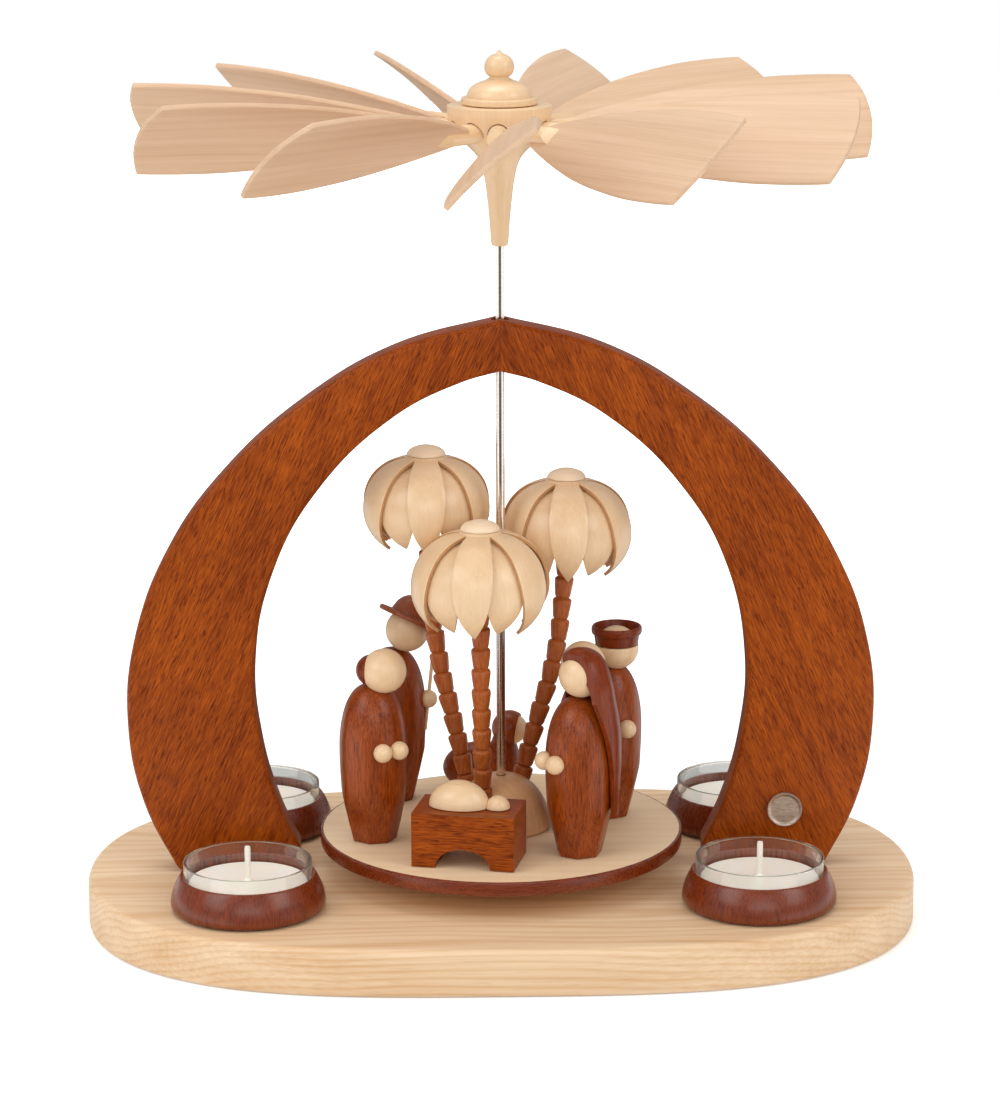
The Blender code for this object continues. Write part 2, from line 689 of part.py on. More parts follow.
def make_blade_mesh():
    """One cambered paddle let into the slanted end of its stem, stem shoulder at the origin."""
    origin = HUB_SEAT_RADIUS + FIT_GAP
    corner = FAN_RADIUS - BLADE_END_BULGE
    sheet = bpy.data.meshes.new("blade_sheet")
    body = bmesh.new()
    along, across = 5, 4
    bmesh.ops.create_grid(body, x_segments=along, y_segments=across, size=0.5)
    for vert in body.verts:
        run = vert.co.x + 0.5
        side = vert.co.y * 2
        width = curve_point(BLADE_WIDTH_SHARES, run) * BLADE_HALF_WIDTH
        bulge = BLADE_END_BULGE * run ** 3 * (1 - side * side)
        crown = BLADE_CAMBER * (1 - side * side) * width / BLADE_HALF_WIDTH
        vert.co = (BLADE_ROOT_RADIUS + run * (corner - BLADE_ROOT_RADIUS) + bulge - origin,
                   side * width, crown - BLADE_CAMBER / 2)
    bmesh.ops.recalc_face_normals(body, faces=body.faces)
    body.to_mesh(sheet)
    body.free()
    paddle = place("blade_paddle", sheet)
    skin = paddle.modifiers.new("sawn thickness", "SOLIDIFY")
    skin.thickness = BLADE_THICKNESS
    skin.offset = 0.0
    stem_profile = [(0.0, STEM_REACH - origin),
                    (STEM_NOSE_SHARE * STEM_RADIUS, STEM_REACH - origin - STEM_RADIUS / 4),
                    (STEM_RADIUS, STEM_REACH - origin - STEM_RADIUS), (STEM_RADIUS, 0.0),
                    (TENON_RADIUS, 0.0), (TENON_RADIUS, TENON_INNER_RADIUS - origin),
                    (0.0, TENON_INNER_RADIUS - origin)]
    stem = turned("blade_stem", stem_profile, None, steps=8, matrix=turned_about("Y", math.pi / 2))
    join(stem, paddle)
    mesh = frozen(stem)
    mesh.transform(stem.matrix_world)
    mesh.name = "blade"
    mesh.materials.clear()
    mesh.materials.append(maple())
    mesh.set_sharp_from_angle(angle=math.radians(35))
    for helper in (stem, paddle):
        bpy.data.objects.remove(helper, do_unlink=True)
    return mesh


def make_blades():
    mesh = make_blade_mesh()
    for index in range(BLADE_COUNT):
        place(f"blade_{index + 1:02d}", mesh, matrix=blade_matrix(index))


def make_hub():
    """Turned bowl and neck with a socket for each stem, and the cap with its finial."""
    top = FAN_HEIGHT + HUB_TOP_RISE
    bowl_foot = top - HUB_BOWL_HEIGHT
    neck_foot = bowl_foot - HUB_NECK_LENGTH
    bowl = [(across * HUB_RADIUS, top - down * HUB_BOWL_HEIGHT) for across, down in HUB_BOWL_SHARES]
    neck = [(across * HUB_RADIUS, bowl_foot - down * HUB_NECK_LENGTH)
            for across, down in HUB_NECK_SHARES]
    bore = SPINDLE_RADIUS + FIT_GAP
    bore_top = FAN_HEIGHT + HUB_BORE_RISE
    hub = turned("fan_hub", [(0.0, top)] + bowl + neck + [(bore, neck_foot), (bore, bore_top),
                                                          (0.0, bore_top)], maple())
    socket_radius = STEM_RADIUS + FIT_GAP
    tenon_radius = TENON_RADIUS + FIT_GAP
    seat = HUB_SEAT_RADIUS
    inner = TENON_INNER_RADIUS - FIT_GAP
    profile = [(0.0, HUB_RADIUS + CUT_OVERRUN), (socket_radius, HUB_RADIUS + CUT_OVERRUN),
               (socket_radius, seat), (tenon_radius, seat), (tenon_radius, inner), (0.0, inner)]
    for index in range(BLADE_COUNT):
        angle = FIRST_BLADE_ANGLE + index * math.tau / BLADE_COUNT
        matrix = (moved(z=FAN_HEIGHT) @ turned_about("Z", angle) @ turned_about("Y", -BLADE_RISE)
                  @ turned_about("Y", math.pi / 2))
        cut(hub, turned(f"stem_socket_{index + 1:02d}", profile, None, steps=8, matrix=matrix))
    plate_foot = top + FIT_GAP
    plate_top = plate_foot + CAP_PLATE_THICKNESS
    bell_top = plate_top + CAP_BELL_HEIGHT
    bell = [(FINIAL_NECK_RADIUS + across * (CAP_RADIUS - FINIAL_NECK_RADIUS),
             bell_top - down * CAP_BELL_HEIGHT) for across, down in BELL_SHARES]
    knob = arc(0.0, bell_top + FINIAL_HEIGHT / 2, FINIAL_RADIUS, FINIAL_HEIGHT / 2,
               math.radians(60), math.radians(-50), 5)
    tip = [(0.0, bell_top + FINIAL_HEIGHT + FINIAL_TIP_HEIGHT)]
    turned("hub_cap", tip + knob + bell + [(CAP_RADIUS, plate_top), (CAP_RADIUS, plate_foot),
                                           (0.0, plate_foot)], maple(), steps=SMALL_STEPS)


def crown_height(palm):
    return STAGE_TOP + palm["height_share"] * (WINDOW_TOP - STAGE_TOP)


def palm_ends(palm):
    """Foot of a trunk inside the mound and its top under the crown."""
    foot_x, foot_y = (share * MOUND_RADIUS for share in palm["foot_shares"])
    off_axis = math.hypot(foot_x, foot_y) / MOUND_RADIUS
    surface = STAGE_TOP + FIT_GAP + MOUND_HEIGHT * math.sqrt(1 - off_axis ** 2)
    top_x, top_y = (share * TURNTABLE_RADIUS for share in palm["top_shares"])
    top = crown_height(palm) - CROWN_BOSS_HEIGHT - FIT_GAP
    return Vector((foot_x, foot_y, surface - TRUNK_SOCKET_DEPTH)), Vector((top_x, top_y, top))


def trunk_point(palm, run):
    foot, top = palm_ends(palm)
    lean = curve_point(TRUNK_BEND_SHARES, run)
    return Vector((foot.x + (top.x - foot.x) * lean, foot.y + (top.y - foot.y) * lean,
                   foot.z + (top.z - foot.z) * run))


def make_mound():
    """Turned mound on the stage, bored for the spindle and for the three trunks."""
    bore = SPINDLE_RADIUS + FIT_GAP
    foot = STAGE_TOP + FIT_GAP
    outside = [(across * MOUND_RADIUS, foot + up * MOUND_HEIGHT) for across, up in MOUND_SHARES]
    mound = turned("palm_mound", [(bore, foot + MOUND_HEIGHT)] + outside + [(bore, foot)],
                   maple(), steps=SMALL_STEPS, closed=True)
    for name, palm in PALMS.items():
        foot_point = trunk_point(palm, 0.0)
        direction = trunk_point(palm, TRUNK_BEND_SHARES[1][0]) - foot_point
        tilt = direction.to_track_quat("Z", "Y").to_matrix().to_4x4()
        matrix = Matrix.Translation(foot_point) @ tilt @ moved(z=-FIT_GAP)
        cut(mound, cylinder(f"trunk_socket_{name}", TRUNK_RADIUS + FIT_GAP, MOUND_HEIGHT,
                            matrix=matrix, steps=8))


def make_trunk(name, palm):
    """A bent string of tapered beads, each wider at its top."""
    foot, top = palm_ends(palm)
    beads = max(3, round((top - foot).length / TRUNK_BEAD_LENGTH))
    curve = bpy.data.curves.new(f"palm_{name}_trunk", "CURVE")
    curve.dimensions = "3D"
    curve.bevel_depth = TRUNK_RADIUS
    curve.bevel_resolution = 1
    curve.use_fill_caps = True
    spline = curve.splines.new("POLY")
    stations = []
    for bead in range(beads):
        stations.append(((bead + 0.0) / beads, TRUNK_WAIST_SHARE))
        stations.append(((bead + 1.0 - TRUNK_SHOULDER_SHARE) / beads, 1.0))
    stations.append((1.0, TRUNK_WAIST_SHARE))
    spline.points.add(len(stations) - 1)
    for point, (run, radius) in zip(spline.points, stations):
        point.co = (*trunk_point(palm, run), 1.0)
        point.radius = radius
    trunk = bpy.data.objects.new(f"palm_{name}_trunk", curve)
    collection(PART_COLLECTION).objects.link(trunk)
    trunk = freeze(trunk)
    trunk.data.materials.append(mahogany())


def make_frond(name, palm, angle, layer_radius):
    """One leaf: a strip down the crown's round side that ends in a point."""
    sheet = bpy.data.meshes.new(name)
    body = bmesh.new()
    bmesh.ops.create_grid(body, x_segments=4, y_segments=2, size=0.5)
    semi_height = palm["drop"] / (1 - math.cos(FROND_REACH_SHARE * math.pi))
    inset = palm["spread"] - layer_radius
    start = FROND_START_SHARE * math.pi
    half_turn = math.pi / FRONDS_IN_A_LAYER
    for vert in body.verts:
        run = vert.co.x + 0.5
        side = vert.co.y * 2
        slope = start + run * (FROND_REACH_SHARE * math.pi - start)
        turn = angle + side * half_turn * curve_point(FROND_WIDTH_SHARES, run)
        fullness = FROND_SHOULDER_POWER if slope < math.pi / 2 else 1.0
        reach = layer_radius * math.sin(slope) ** fullness
        height = (semi_height - inset) * math.cos(slope) - semi_height - FROND_THICKNESS / 2
        vert.co = (reach * math.cos(turn), reach * math.sin(turn), height)
    bmesh.ops.recalc_face_normals(body, faces=body.faces)
    body.to_mesh(sheet)
    body.free()
    frond = place(name, sheet, where=CUTTER_COLLECTION)
    skin = frond.modifiers.new("leaf thickness", "SOLIDIFY")
    skin.thickness = FROND_THICKNESS
    skin.offset = 0.0
    hide_cutter(frond)
    return frond


def make_crown(name, palm):
    """Two layers of fronds round a small boss, with a turned button on top."""
    _, top = palm_ends(palm)
    crown_top = crown_height(palm)
    matrix = moved(top.x, top.y, crown_top)
    boss = turned(f"palm_{name}_crown",
                  [(0.0, 0.0), (CROWN_BOSS_RADIUS, 0.0),
                   (CROWN_BOSS_FOOT_RADIUS, -CROWN_BOSS_HEIGHT), (0.0, -CROWN_BOSS_HEIGHT)],
                  maple(), steps=8, matrix=matrix)
    for layer in range(2):
        radius = palm["spread"] - FROND_THICKNESS / 2 - layer * FROND_LAYER_STEP
        for leaf in range(FRONDS_IN_A_LAYER):
            angle = math.tau * (leaf + layer / 2) / FRONDS_IN_A_LAYER + palm["turn"]
            frond = make_frond(f"palm_{name}_frond_{layer}_{leaf}", palm, angle, radius)
            frond.matrix_world = matrix
            join(boss, frond)
    if math.hypot(top.x, top.y) < palm["spread"] + SPINDLE_RADIUS:
        cut(boss, cylinder(f"palm_{name}_spindle_way", SPINDLE_RADIUS + RUNNING_GAP, ARCH_HEIGHT,
                           matrix=moved(z=STAGE_TOP)))
    button_foot = crown_top + FIT_GAP
    turned(f"palm_{name}_button",
           [(0.0, button_foot + CROWN_BUTTON_HEIGHT)]
           + arc(0.0, button_foot, CROWN_BUTTON_RADIUS, CROWN_BUTTON_HEIGHT,
                 math.radians(60), 0.0, 3) + [(0.0, button_foot)], maple(),
           steps=SMALL_STEPS, matrix=moved(top.x, top.y))


def stage_place(shares):
    return Vector((shares[0] * TURNTABLE_RADIUS, shares[1] * TURNTABLE_RADIUS, STAGE_TOP + FIT_GAP))


def step_from(place_before, angle, distance):
    """The next figure along the right-hand row."""
    return place_before + Vector((math.cos(angle) * distance, math.sin(angle) * distance, 0.0))


def head_place(foot, shares):
    return foot + Vector((shares[0] * HEAD_RADIUS, shares[1] * HEAD_RADIUS,
                          HEAD_RISE + shares[2] * HEAD_RADIUS))


def hand_place(heading):
    """Middle of a ball hand, let a little into the body's widest ring."""
    reach = FIGURE_RADIUS + HAND_REACH_SHARE * HAND_RADIUS
    return Vector((math.cos(heading) * reach, math.sin(heading) * reach, HAND_RISE))


def figure_body(name, foot, finish, head=None, hands=(), girth=FIGURE_RADIUS):
    """Turned body, planed to flats round its hem, seated for its head and with ball hands."""
    profile = [(across * girth, up * FIGURE_HEIGHT) for across, up in FIGURE_SHARES]
    body = turned(name, [(0.0, FIGURE_HEIGHT)] + profile + [(0.0, 0.0)], finish,
                  steps=SMALL_STEPS, matrix=Matrix.Translation(foot))
    flats = cylinder(name + "_flats", FIGURE_FLAT_FOOT_SHARE * girth / math.cos(math.pi / FIGURE_FLATS),
                     FIGURE_HEIGHT + 2 * CUT_OVERRUN, end_radius=FIGURE_FLAT_TOP_SHARE * girth,
                     steps=FIGURE_FLATS, matrix=Matrix.Translation(foot) @ moved(z=-FIT_GAP / 2))
    trim(body, flats)
    if head is not None:
        cut(body, ball(name + "_head_seat", HEAD_RADIUS + FIT_GAP, matrix=Matrix.Translation(head)))
    for number, heading in enumerate(hands):
        centre = foot + hand_place(heading)
        join(body, ball(f"{name}_hand_{number}", HAND_RADIUS, matrix=Matrix.Translation(centre),
                        segments=8, rings=5))
    return body


def make_front_left_figure():
    """The head carries a lens of hair at its back, so the body is seated for both."""
    foot = stage_place(FRONT_LEFT_PLACE_SHARES)
    head = head_place(foot, FRONT_LEFT_HEAD_SHARES)
    body = figure_body("front_left_body", foot, mahogany(), head,
                       hands=(math.radians(-74), math.radians(-45)))
    skull = ball("front_left_head", HEAD_RADIUS, maple(), Matrix.Translation(head))
    reach = HEAD_RADIUS + HAIR_THICKNESS - HAIR_RADIUS
    hair = Matrix.Translation(head) @ turned_about("Z", HAIR_BEARING) @ moved(x=reach)
    cut(body, ball("front_left_hair_seat", HAIR_RADIUS + FIT_GAP, matrix=hair))
    join(skull, ball("front_left_hair", HAIR_RADIUS, matrix=hair))


def make_shepherd():
    foot = stage_place(SHEPHERD_PLACE_SHARES)
    head = head_place(foot, SHEPHERD_HEAD_SHARES)
    body = figure_body("shepherd_body", foot, mahogany(), head)
    hand = Matrix.Translation(foot + hand_place(STAFF_HAND_ANGLE) + Vector((0.0, 0.0, STAFF_HAND_LIFT)))
    join(body, ball("shepherd_hand", HAND_RADIUS, matrix=hand, segments=8, rings=5))
    join(body, cylinder("shepherd_staff", STAFF_RADIUS, STAFF_LENGTH, steps=8,
                        matrix=hand @ turned_about("Y", STAFF_TILT)
                        @ moved(z=-STAFF_FOOT_SHARE * STAFF_LENGTH)))
    ball("shepherd_head", HEAD_RADIUS, maple(), Matrix.Translation(head))
    tilt = Matrix.Translation(head) @ turned_about("X", HAT_LEAN) @ turned_about("Y", HAT_TILT)
    seat = HAT_SEAT_SHARE * HEAD_RADIUS
    dome = arc(0.0, seat + HAT_BRIM_THICKNESS, HAT_DOME_SHARE * HEAD_RADIUS, HAT_DOME_HEIGHT,
               math.radians(66), 0.0, 5)
    hat = turned("shepherd_hat",
                 [(0.0, seat + HAT_BRIM_THICKNESS + HAT_DOME_HEIGHT)] + dome
                 + [(HAT_BRIM_RADIUS, seat + HAT_BRIM_THICKNESS), (HAT_BRIM_RADIUS, seat), (0.0, seat)],
                 mahogany(), steps=SMALL_STEPS, matrix=tilt)
    cut(hat, ball("shepherd_hat_hollow", HEAD_RADIUS + FIT_GAP, matrix=Matrix.Translation(head)))


def make_veiled_figure(foot):
    """The veil is a turned shell, sawn on a slant so that it hangs to a point behind."""
    head = head_place(foot, VEILED_HEAD_SHARES)
    figure_body("veiled_body", foot, mahogany(), head,
                hands=(math.radians(-163), math.radians(-133)))
    ball("veiled_head", HEAD_RADIUS, maple(), Matrix.Translation(head))
    head_height = head.z - foot.z
    hem = head_height + HEAD_RADIUS - VEIL_LENGTH
    dome = HEAD_RADIUS + VEIL_EASE
    side = FIGURE_RADIUS + VEIL_EASE
    cheek = dome + VEIL_CHEEK_SHARE * HEAD_RADIUS
    widest = VEIL_WIDEST_SHARE * FIGURE_HEIGHT
    inner = ([(0.0, head_height + dome)]
             + arc(0.0, head_height, cheek, dome,
                   math.radians(72), math.radians(-20), 5)
             + [(side, widest), (side, hem)])
    outer = [(0.0, head_height + dome + VEIL_THICKNESS)]
    outer += arc(0.0, head_height, cheek + VEIL_THICKNESS, dome + VEIL_THICKNESS,
                 math.radians(72), math.radians(-20), 5)
    outer += [(side + VEIL_THICKNESS, widest), (side + VEIL_THICKNESS / 2, hem)]
    veil = turned("veiled_veil", outer + inner[::-1], walnut(), matrix=Matrix.Translation(foot))
    size = 2 * VEIL_LENGTH
    slant = (Matrix.Translation(head) @ turned_about("Z", VEIL_OPENING_ANGLE)
             @ turned_about("Y", VEIL_SLANT) @ moved(x=VEIL_LENGTH + VEIL_BROW_REACH, z=-VEIL_LENGTH))
    cut(veil, box("veil_opening", size, size, size, matrix=slant))


def make_crowned_figure(foot):
    """The head is turned with a rebate that the flared crown stands on."""
    head = head_place(foot, CROWNED_HEAD_SHARES)
    figure_body("crowned_body", foot, mahogany(), head,
                hands=(math.radians(-62),))
    ledge = CROWN_LEDGE_SHARE * HEAD_RADIUS
    neck = HEAD_RADIUS - CROWN_REBATE
    full = math.asin(ledge / HEAD_RADIUS)
    dome = arc(0.0, 0.0, HEAD_RADIUS, HEAD_RADIUS, math.radians(68), math.acos(neck / HEAD_RADIUS), 3)
    jaw = arc(0.0, 0.0, HEAD_RADIUS, HEAD_RADIUS, full, math.radians(-72), 6)
    turned("crowned_head", [(0.0, HEAD_RADIUS)] + dome + [(neck, ledge)] + jaw
           + [(0.0, -HEAD_RADIUS)], maple(), steps=SMALL_STEPS, matrix=Matrix.Translation(head))
    foot_of_crown = ledge + FIT_GAP
    rim = foot_of_crown + CROWN_HEIGHT
    band = CROWN_BAND_SHARE * HEAD_RADIUS
    inner = neck + FIT_GAP
    turned("crowned_crown",
           [(CROWN_RADIUS, rim), (band, foot_of_crown), (inner, foot_of_crown),
            (inner, foot_of_crown + CROWN_HEIGHT / 3), (CROWN_RADIUS - CROWN_WALL, rim)],
           walnut(), steps=SMALL_STEPS, matrix=Matrix.Translation(head), closed=True)


def make_rear_figure(foot):
    """Bare-headed figure between the veiled and the crowned one, in one piece."""
    head = head_place(foot, REAR_HEAD_SHARES)
    body = figure_body("rear_figure", foot, mahogany(), girth=REAR_FIGURE_RADIUS)
    join(body, ball("rear_figure_head", HEAD_RADIUS, matrix=Matrix.Translation(head)))


def make_kneeler():
    """Low kneeling figure with a bowed, hooded head, cut flat where it kneels."""
    foot = stage_place(KNEELER_PLACE_SHARES)
    middle = KNEELER_MIDDLE_SHARE * KNEELER_HEIGHT
    shape = Matrix.Translation(foot + Vector((0.0, 0.0, middle))) @ Matrix.Diagonal(
        (KNEELER_LENGTH / 2, KNEELER_WIDTH / 2, KNEELER_HEIGHT - middle, 1.0))
    mesh = bpy.data.meshes.new("kneeler")
    body = bmesh.new()
    bmesh.ops.create_uvsphere(body, u_segments=BALL_SEGMENTS, v_segments=BALL_RINGS, radius=1.0,
                              matrix=shape)
    body.to_mesh(mesh)
    body.free()
    kneeler = place("kneeler", mesh, walnut())
    floor = box("kneeler_floor", KNEELER_LENGTH * 2, KNEELER_WIDTH * 2, KNEELER_HEIGHT,
                matrix=Matrix.Translation(foot) @ moved(z=-KNEELER_HEIGHT))
    cut(kneeler, floor)
    head = foot + Vector((KNEELER_HEAD_SHARE * KNEELER_LENGTH, 0.0, KNEELER_HEAD_RISE))
    back = foot + Vector((KNEELER_SHOULDER_SHARES[0] * KNEELER_LENGTH, 0.0,
                          KNEELER_SHOULDER_SHARES[1] * KNEELER_HEIGHT))
    shoulders = cylinder("kneeler_shoulders", KNEELER_SHOULDER_WIDTH_SHARE * KNEELER_WIDTH,
                         KNEELER_SHOULDER_HEIGHT_SHARE * KNEELER_HEAD_RISE,
                         end_radius=KNEELER_NECK_SHARE * KNEELER_HEAD_RADIUS, steps=12,
                         matrix=Matrix.Translation(back))
    join(kneeler, shoulders)
    join(kneeler, ball("kneeler_head", KNEELER_HEAD_RADIUS, matrix=Matrix.Translation(head)))


def make_crib():
    """Block crib with an arched foot, and the infant as two half rounds lying on it."""
    foot = stage_place(CRIB_PLACE_SHARES)
    frame = Matrix.Translation(foot) @ turned_about("Z", CRIB_TURN)
    crib = box("crib", CRIB_LENGTH, CRIB_DEPTH, CRIB_HEIGHT, mahogany(), frame)
    soft = crib.modifiers.new("eased edges", "BEVEL")
    soft.width = CRIB_ROUNDING
    soft.segments = 1
    tunnel = cylinder("crib_arch", 1.0, CRIB_DEPTH + 2 * CUT_OVERRUN, steps=TURNED_STEPS)
    tunnel.data.transform(Matrix.Diagonal((CRIB_ARCH_WIDTH / 2, CRIB_ARCH_HEIGHT, 1.0, 1.0)))
    tunnel.matrix_world = frame @ moved(y=CRIB_DEPTH / 2 + CUT_OVERRUN) @ turned_about("X", math.pi / 2)
    cut(crib, tunnel)
    top = CRIB_HEIGHT + FIT_GAP
    mesh = bpy.data.meshes.new("infant")
    body = bmesh.new()
    bmesh.ops.create_uvsphere(body, u_segments=BALL_SEGMENTS, v_segments=BALL_RINGS, radius=1.0,
                              matrix=Matrix.Diagonal((INFANT_LENGTH / 2, INFANT_WIDTH / 2,
                                                      INFANT_HEIGHT, 1.0)))
    body.to_mesh(mesh)
    body.free()
    middle = -INFANT_MIDDLE_SHARE * INFANT_HEAD_RADIUS
    infant = place("infant", mesh, maple(), matrix=frame @ moved(x=middle, z=top))
    head_x = middle + INFANT_LENGTH / 2 + INFANT_NECK_SHARE * INFANT_HEAD_RADIUS
    join(infant, ball("infant_head", INFANT_HEAD_RADIUS, matrix=frame @ moved(x=head_x, z=top),
                      segments=10, rings=8))
    under = box("infant_under", CRIB_LENGTH, CRIB_DEPTH, INFANT_HEIGHT + CUT_OVERRUN,
                matrix=frame @ moved(z=top - INFANT_HEIGHT - CUT_OVERRUN))
    cut(infant, under)


def main():
    clear_scene()
    make_board()
    make_arch()
    make_bearing()
    make_turntable()
    make_plain_disc()
    for number, x, y in tealight_places():
        make_tealight(number, x, y)
    make_hub()
    make_blades()
    make_mound()
    for name, palm in PALMS.items():
        make_trunk(name, palm)
        make_crown(name, palm)
    make_front_left_figure()
    make_shepherd()
    veiled = stage_place(VEILED_PLACE_SHARES)
    rear = step_from(veiled, REAR_FIGURE_ANGLE, FIGURE_RADIUS + VEIL_EASE + VEIL_THICKNESS
                     + REAR_FIGURE_RADIUS + FIGURE_SPACING)
    crowned = step_from(rear, CROWNED_FIGURE_ANGLE, REAR_FIGURE_RADIUS + FIGURE_RADIUS
                        + FIGURE_SPACING)
    make_veiled_figure(veiled)
    make_rear_figure(rear)
    make_crowned_figure(crowned)
    make_kneeler()
    make_crib()


main()
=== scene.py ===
# %% [markdown]
# # A candle carousel, dressed for its portrait
# Four tealights warm the air, the air turns a fan of eleven wooden blades, and the fan turns a round
# stage of figures and palms inside a pointed arch. The sizes and the joints are already fixed in a
# CAD frame. This file loads that frame and gives every piece its finer shape and its finish.

# %% Load the frame
import json
import math

import bmesh
import bpy
from mathutils import Matrix, Vector

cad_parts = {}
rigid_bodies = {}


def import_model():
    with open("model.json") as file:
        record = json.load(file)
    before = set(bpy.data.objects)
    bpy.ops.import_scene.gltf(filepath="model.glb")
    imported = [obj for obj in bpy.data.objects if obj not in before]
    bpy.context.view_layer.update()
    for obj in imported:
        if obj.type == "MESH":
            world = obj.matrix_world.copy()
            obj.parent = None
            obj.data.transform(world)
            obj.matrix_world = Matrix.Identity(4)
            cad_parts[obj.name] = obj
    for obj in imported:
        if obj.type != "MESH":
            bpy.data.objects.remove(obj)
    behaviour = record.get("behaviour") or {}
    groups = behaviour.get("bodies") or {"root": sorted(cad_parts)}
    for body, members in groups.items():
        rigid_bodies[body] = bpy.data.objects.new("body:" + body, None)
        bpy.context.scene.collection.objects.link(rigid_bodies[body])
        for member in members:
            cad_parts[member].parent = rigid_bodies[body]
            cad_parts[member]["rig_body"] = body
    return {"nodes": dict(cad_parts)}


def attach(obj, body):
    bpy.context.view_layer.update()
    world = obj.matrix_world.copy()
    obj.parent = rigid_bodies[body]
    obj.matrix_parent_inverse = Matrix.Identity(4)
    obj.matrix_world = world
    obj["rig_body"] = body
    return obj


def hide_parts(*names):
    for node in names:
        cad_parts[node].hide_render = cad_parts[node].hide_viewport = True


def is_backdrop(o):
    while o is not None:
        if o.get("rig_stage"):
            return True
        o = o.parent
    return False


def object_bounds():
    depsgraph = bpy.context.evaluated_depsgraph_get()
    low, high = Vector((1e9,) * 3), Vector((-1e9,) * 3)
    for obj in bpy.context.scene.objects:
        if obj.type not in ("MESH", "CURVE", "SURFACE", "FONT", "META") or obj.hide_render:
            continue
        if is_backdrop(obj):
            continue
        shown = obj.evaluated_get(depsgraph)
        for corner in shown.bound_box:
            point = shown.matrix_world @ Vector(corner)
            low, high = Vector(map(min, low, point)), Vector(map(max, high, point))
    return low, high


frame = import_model()
cad_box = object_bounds()
MM = 0.001

# %% [markdown]
# ## Small helpers
# Colours are written as sRGB hex values, the way a paint chart gives them, and turned to linear light
# once. A node's output is held as a `Wire`, and a sum that is written with wires adds the maths nodes
# for it, to a shader and to a geometry tree alike.


# %% Colour and node helpers
def linear(hex_colour):
    channels = [int(hex_colour[i:i + 2], 16) / 255 for i in (1, 3, 5)]
    return tuple(c / 12.92 if c <= 0.04045 else ((c + 0.055) / 1.055) ** 2.4 for c in channels) + (1.0,)


class Wire:
    """An output of a node, which can be written in a sum."""

    def __init__(self, socket):
        self.socket = socket
        self.tree = socket.id_data

    def __add__(self, other):
        return maths("ADD", self, other)

    def __sub__(self, other):
        return maths("SUBTRACT", self, other)

    def __rsub__(self, other):
        return maths("SUBTRACT", other, self)

    def __mul__(self, other):
        return maths("MULTIPLY", self, other)

    def __truediv__(self, other):
        return maths("DIVIDE", self, other)

    def __pow__(self, other):
        return maths("POWER", self, other)


def plug(value, socket):
    """Give an input socket a value, or link a wire to it."""
    if isinstance(value, Wire):
        value.tree.links.new(value.socket, socket)
    else:
        socket.default_value = value


def add(tree, kind, inputs=None, **settings):
    """Add a node with its settings. Each input is a value or a wire."""
    node = tree.nodes.new(kind)
    for key, value in settings.items():
        setattr(node, key, value)
    for key, value in (inputs or {}).items():
        plug(value, node.inputs[key])
    return node


def wire(tree, kind, inputs=None, output=0, **settings):
    """Add a node and return one of its outputs."""
    return Wire(add(tree, kind, inputs, **settings).outputs[output])


def wires(tree, kind, inputs=None):
    """Add a node and return its outputs by name."""
    return {socket.name: Wire(socket) for socket in add(tree, kind, inputs).outputs}


def maths(operation, *values):
    tree = next(value.tree for value in values if isinstance(value, Wire))
    return wire(tree, "ShaderNodeMath", dict(enumerate(values)), operation=operation)


def rescale(value, low, high, to_low=0.0, to_high=1.0):
    """Carry a value from one range to another."""
    limits = {"From Min": low, "From Max": high, "To Min": to_low, "To Max": to_high}
    return wire(value.tree, "ShaderNodeMapRange", {"Value": value, **limits})


def blend(share, first, second):
    """Mix two colours."""
    return wire(share.tree, "ShaderNodeMix", {0: share, 6: first, 7: second}, 2, data_type="RGBA")


def ramp(value, low, high):
    """Turn a value into a colour between two stops, each a (position, hex colour)."""
    node = add(value.tree, "ShaderNodeValToRGB", {0: value})
    for stop, (position, colour) in zip(node.color_ramp.elements, (low, high)):
        stop.position = position
        stop.color = linear(colour)
    return Wire(node.outputs["Color"])


def new_material(name):
    material = bpy.data.materials.new(name)
    material.use_nodes = True
    return material, material.node_tree, material.node_tree.nodes["Principled BSDF"].inputs


print("a mid grey in linear light:", round(linear("#808080")[0], 3))

# %% [markdown]
# ## Timber
# All the timber is real wood under a thin satin lacquer. Wood isn't one colour: growth rings and fine
# streaks run along the board, and open-pored woods such as mahogany carry short dark dashes, the cut
# vessels. A pattern on world coordinates would run the same way through every piece, so each piece
# keeps its own coordinates in an attribute called "timber", in metres, with X along the grain.


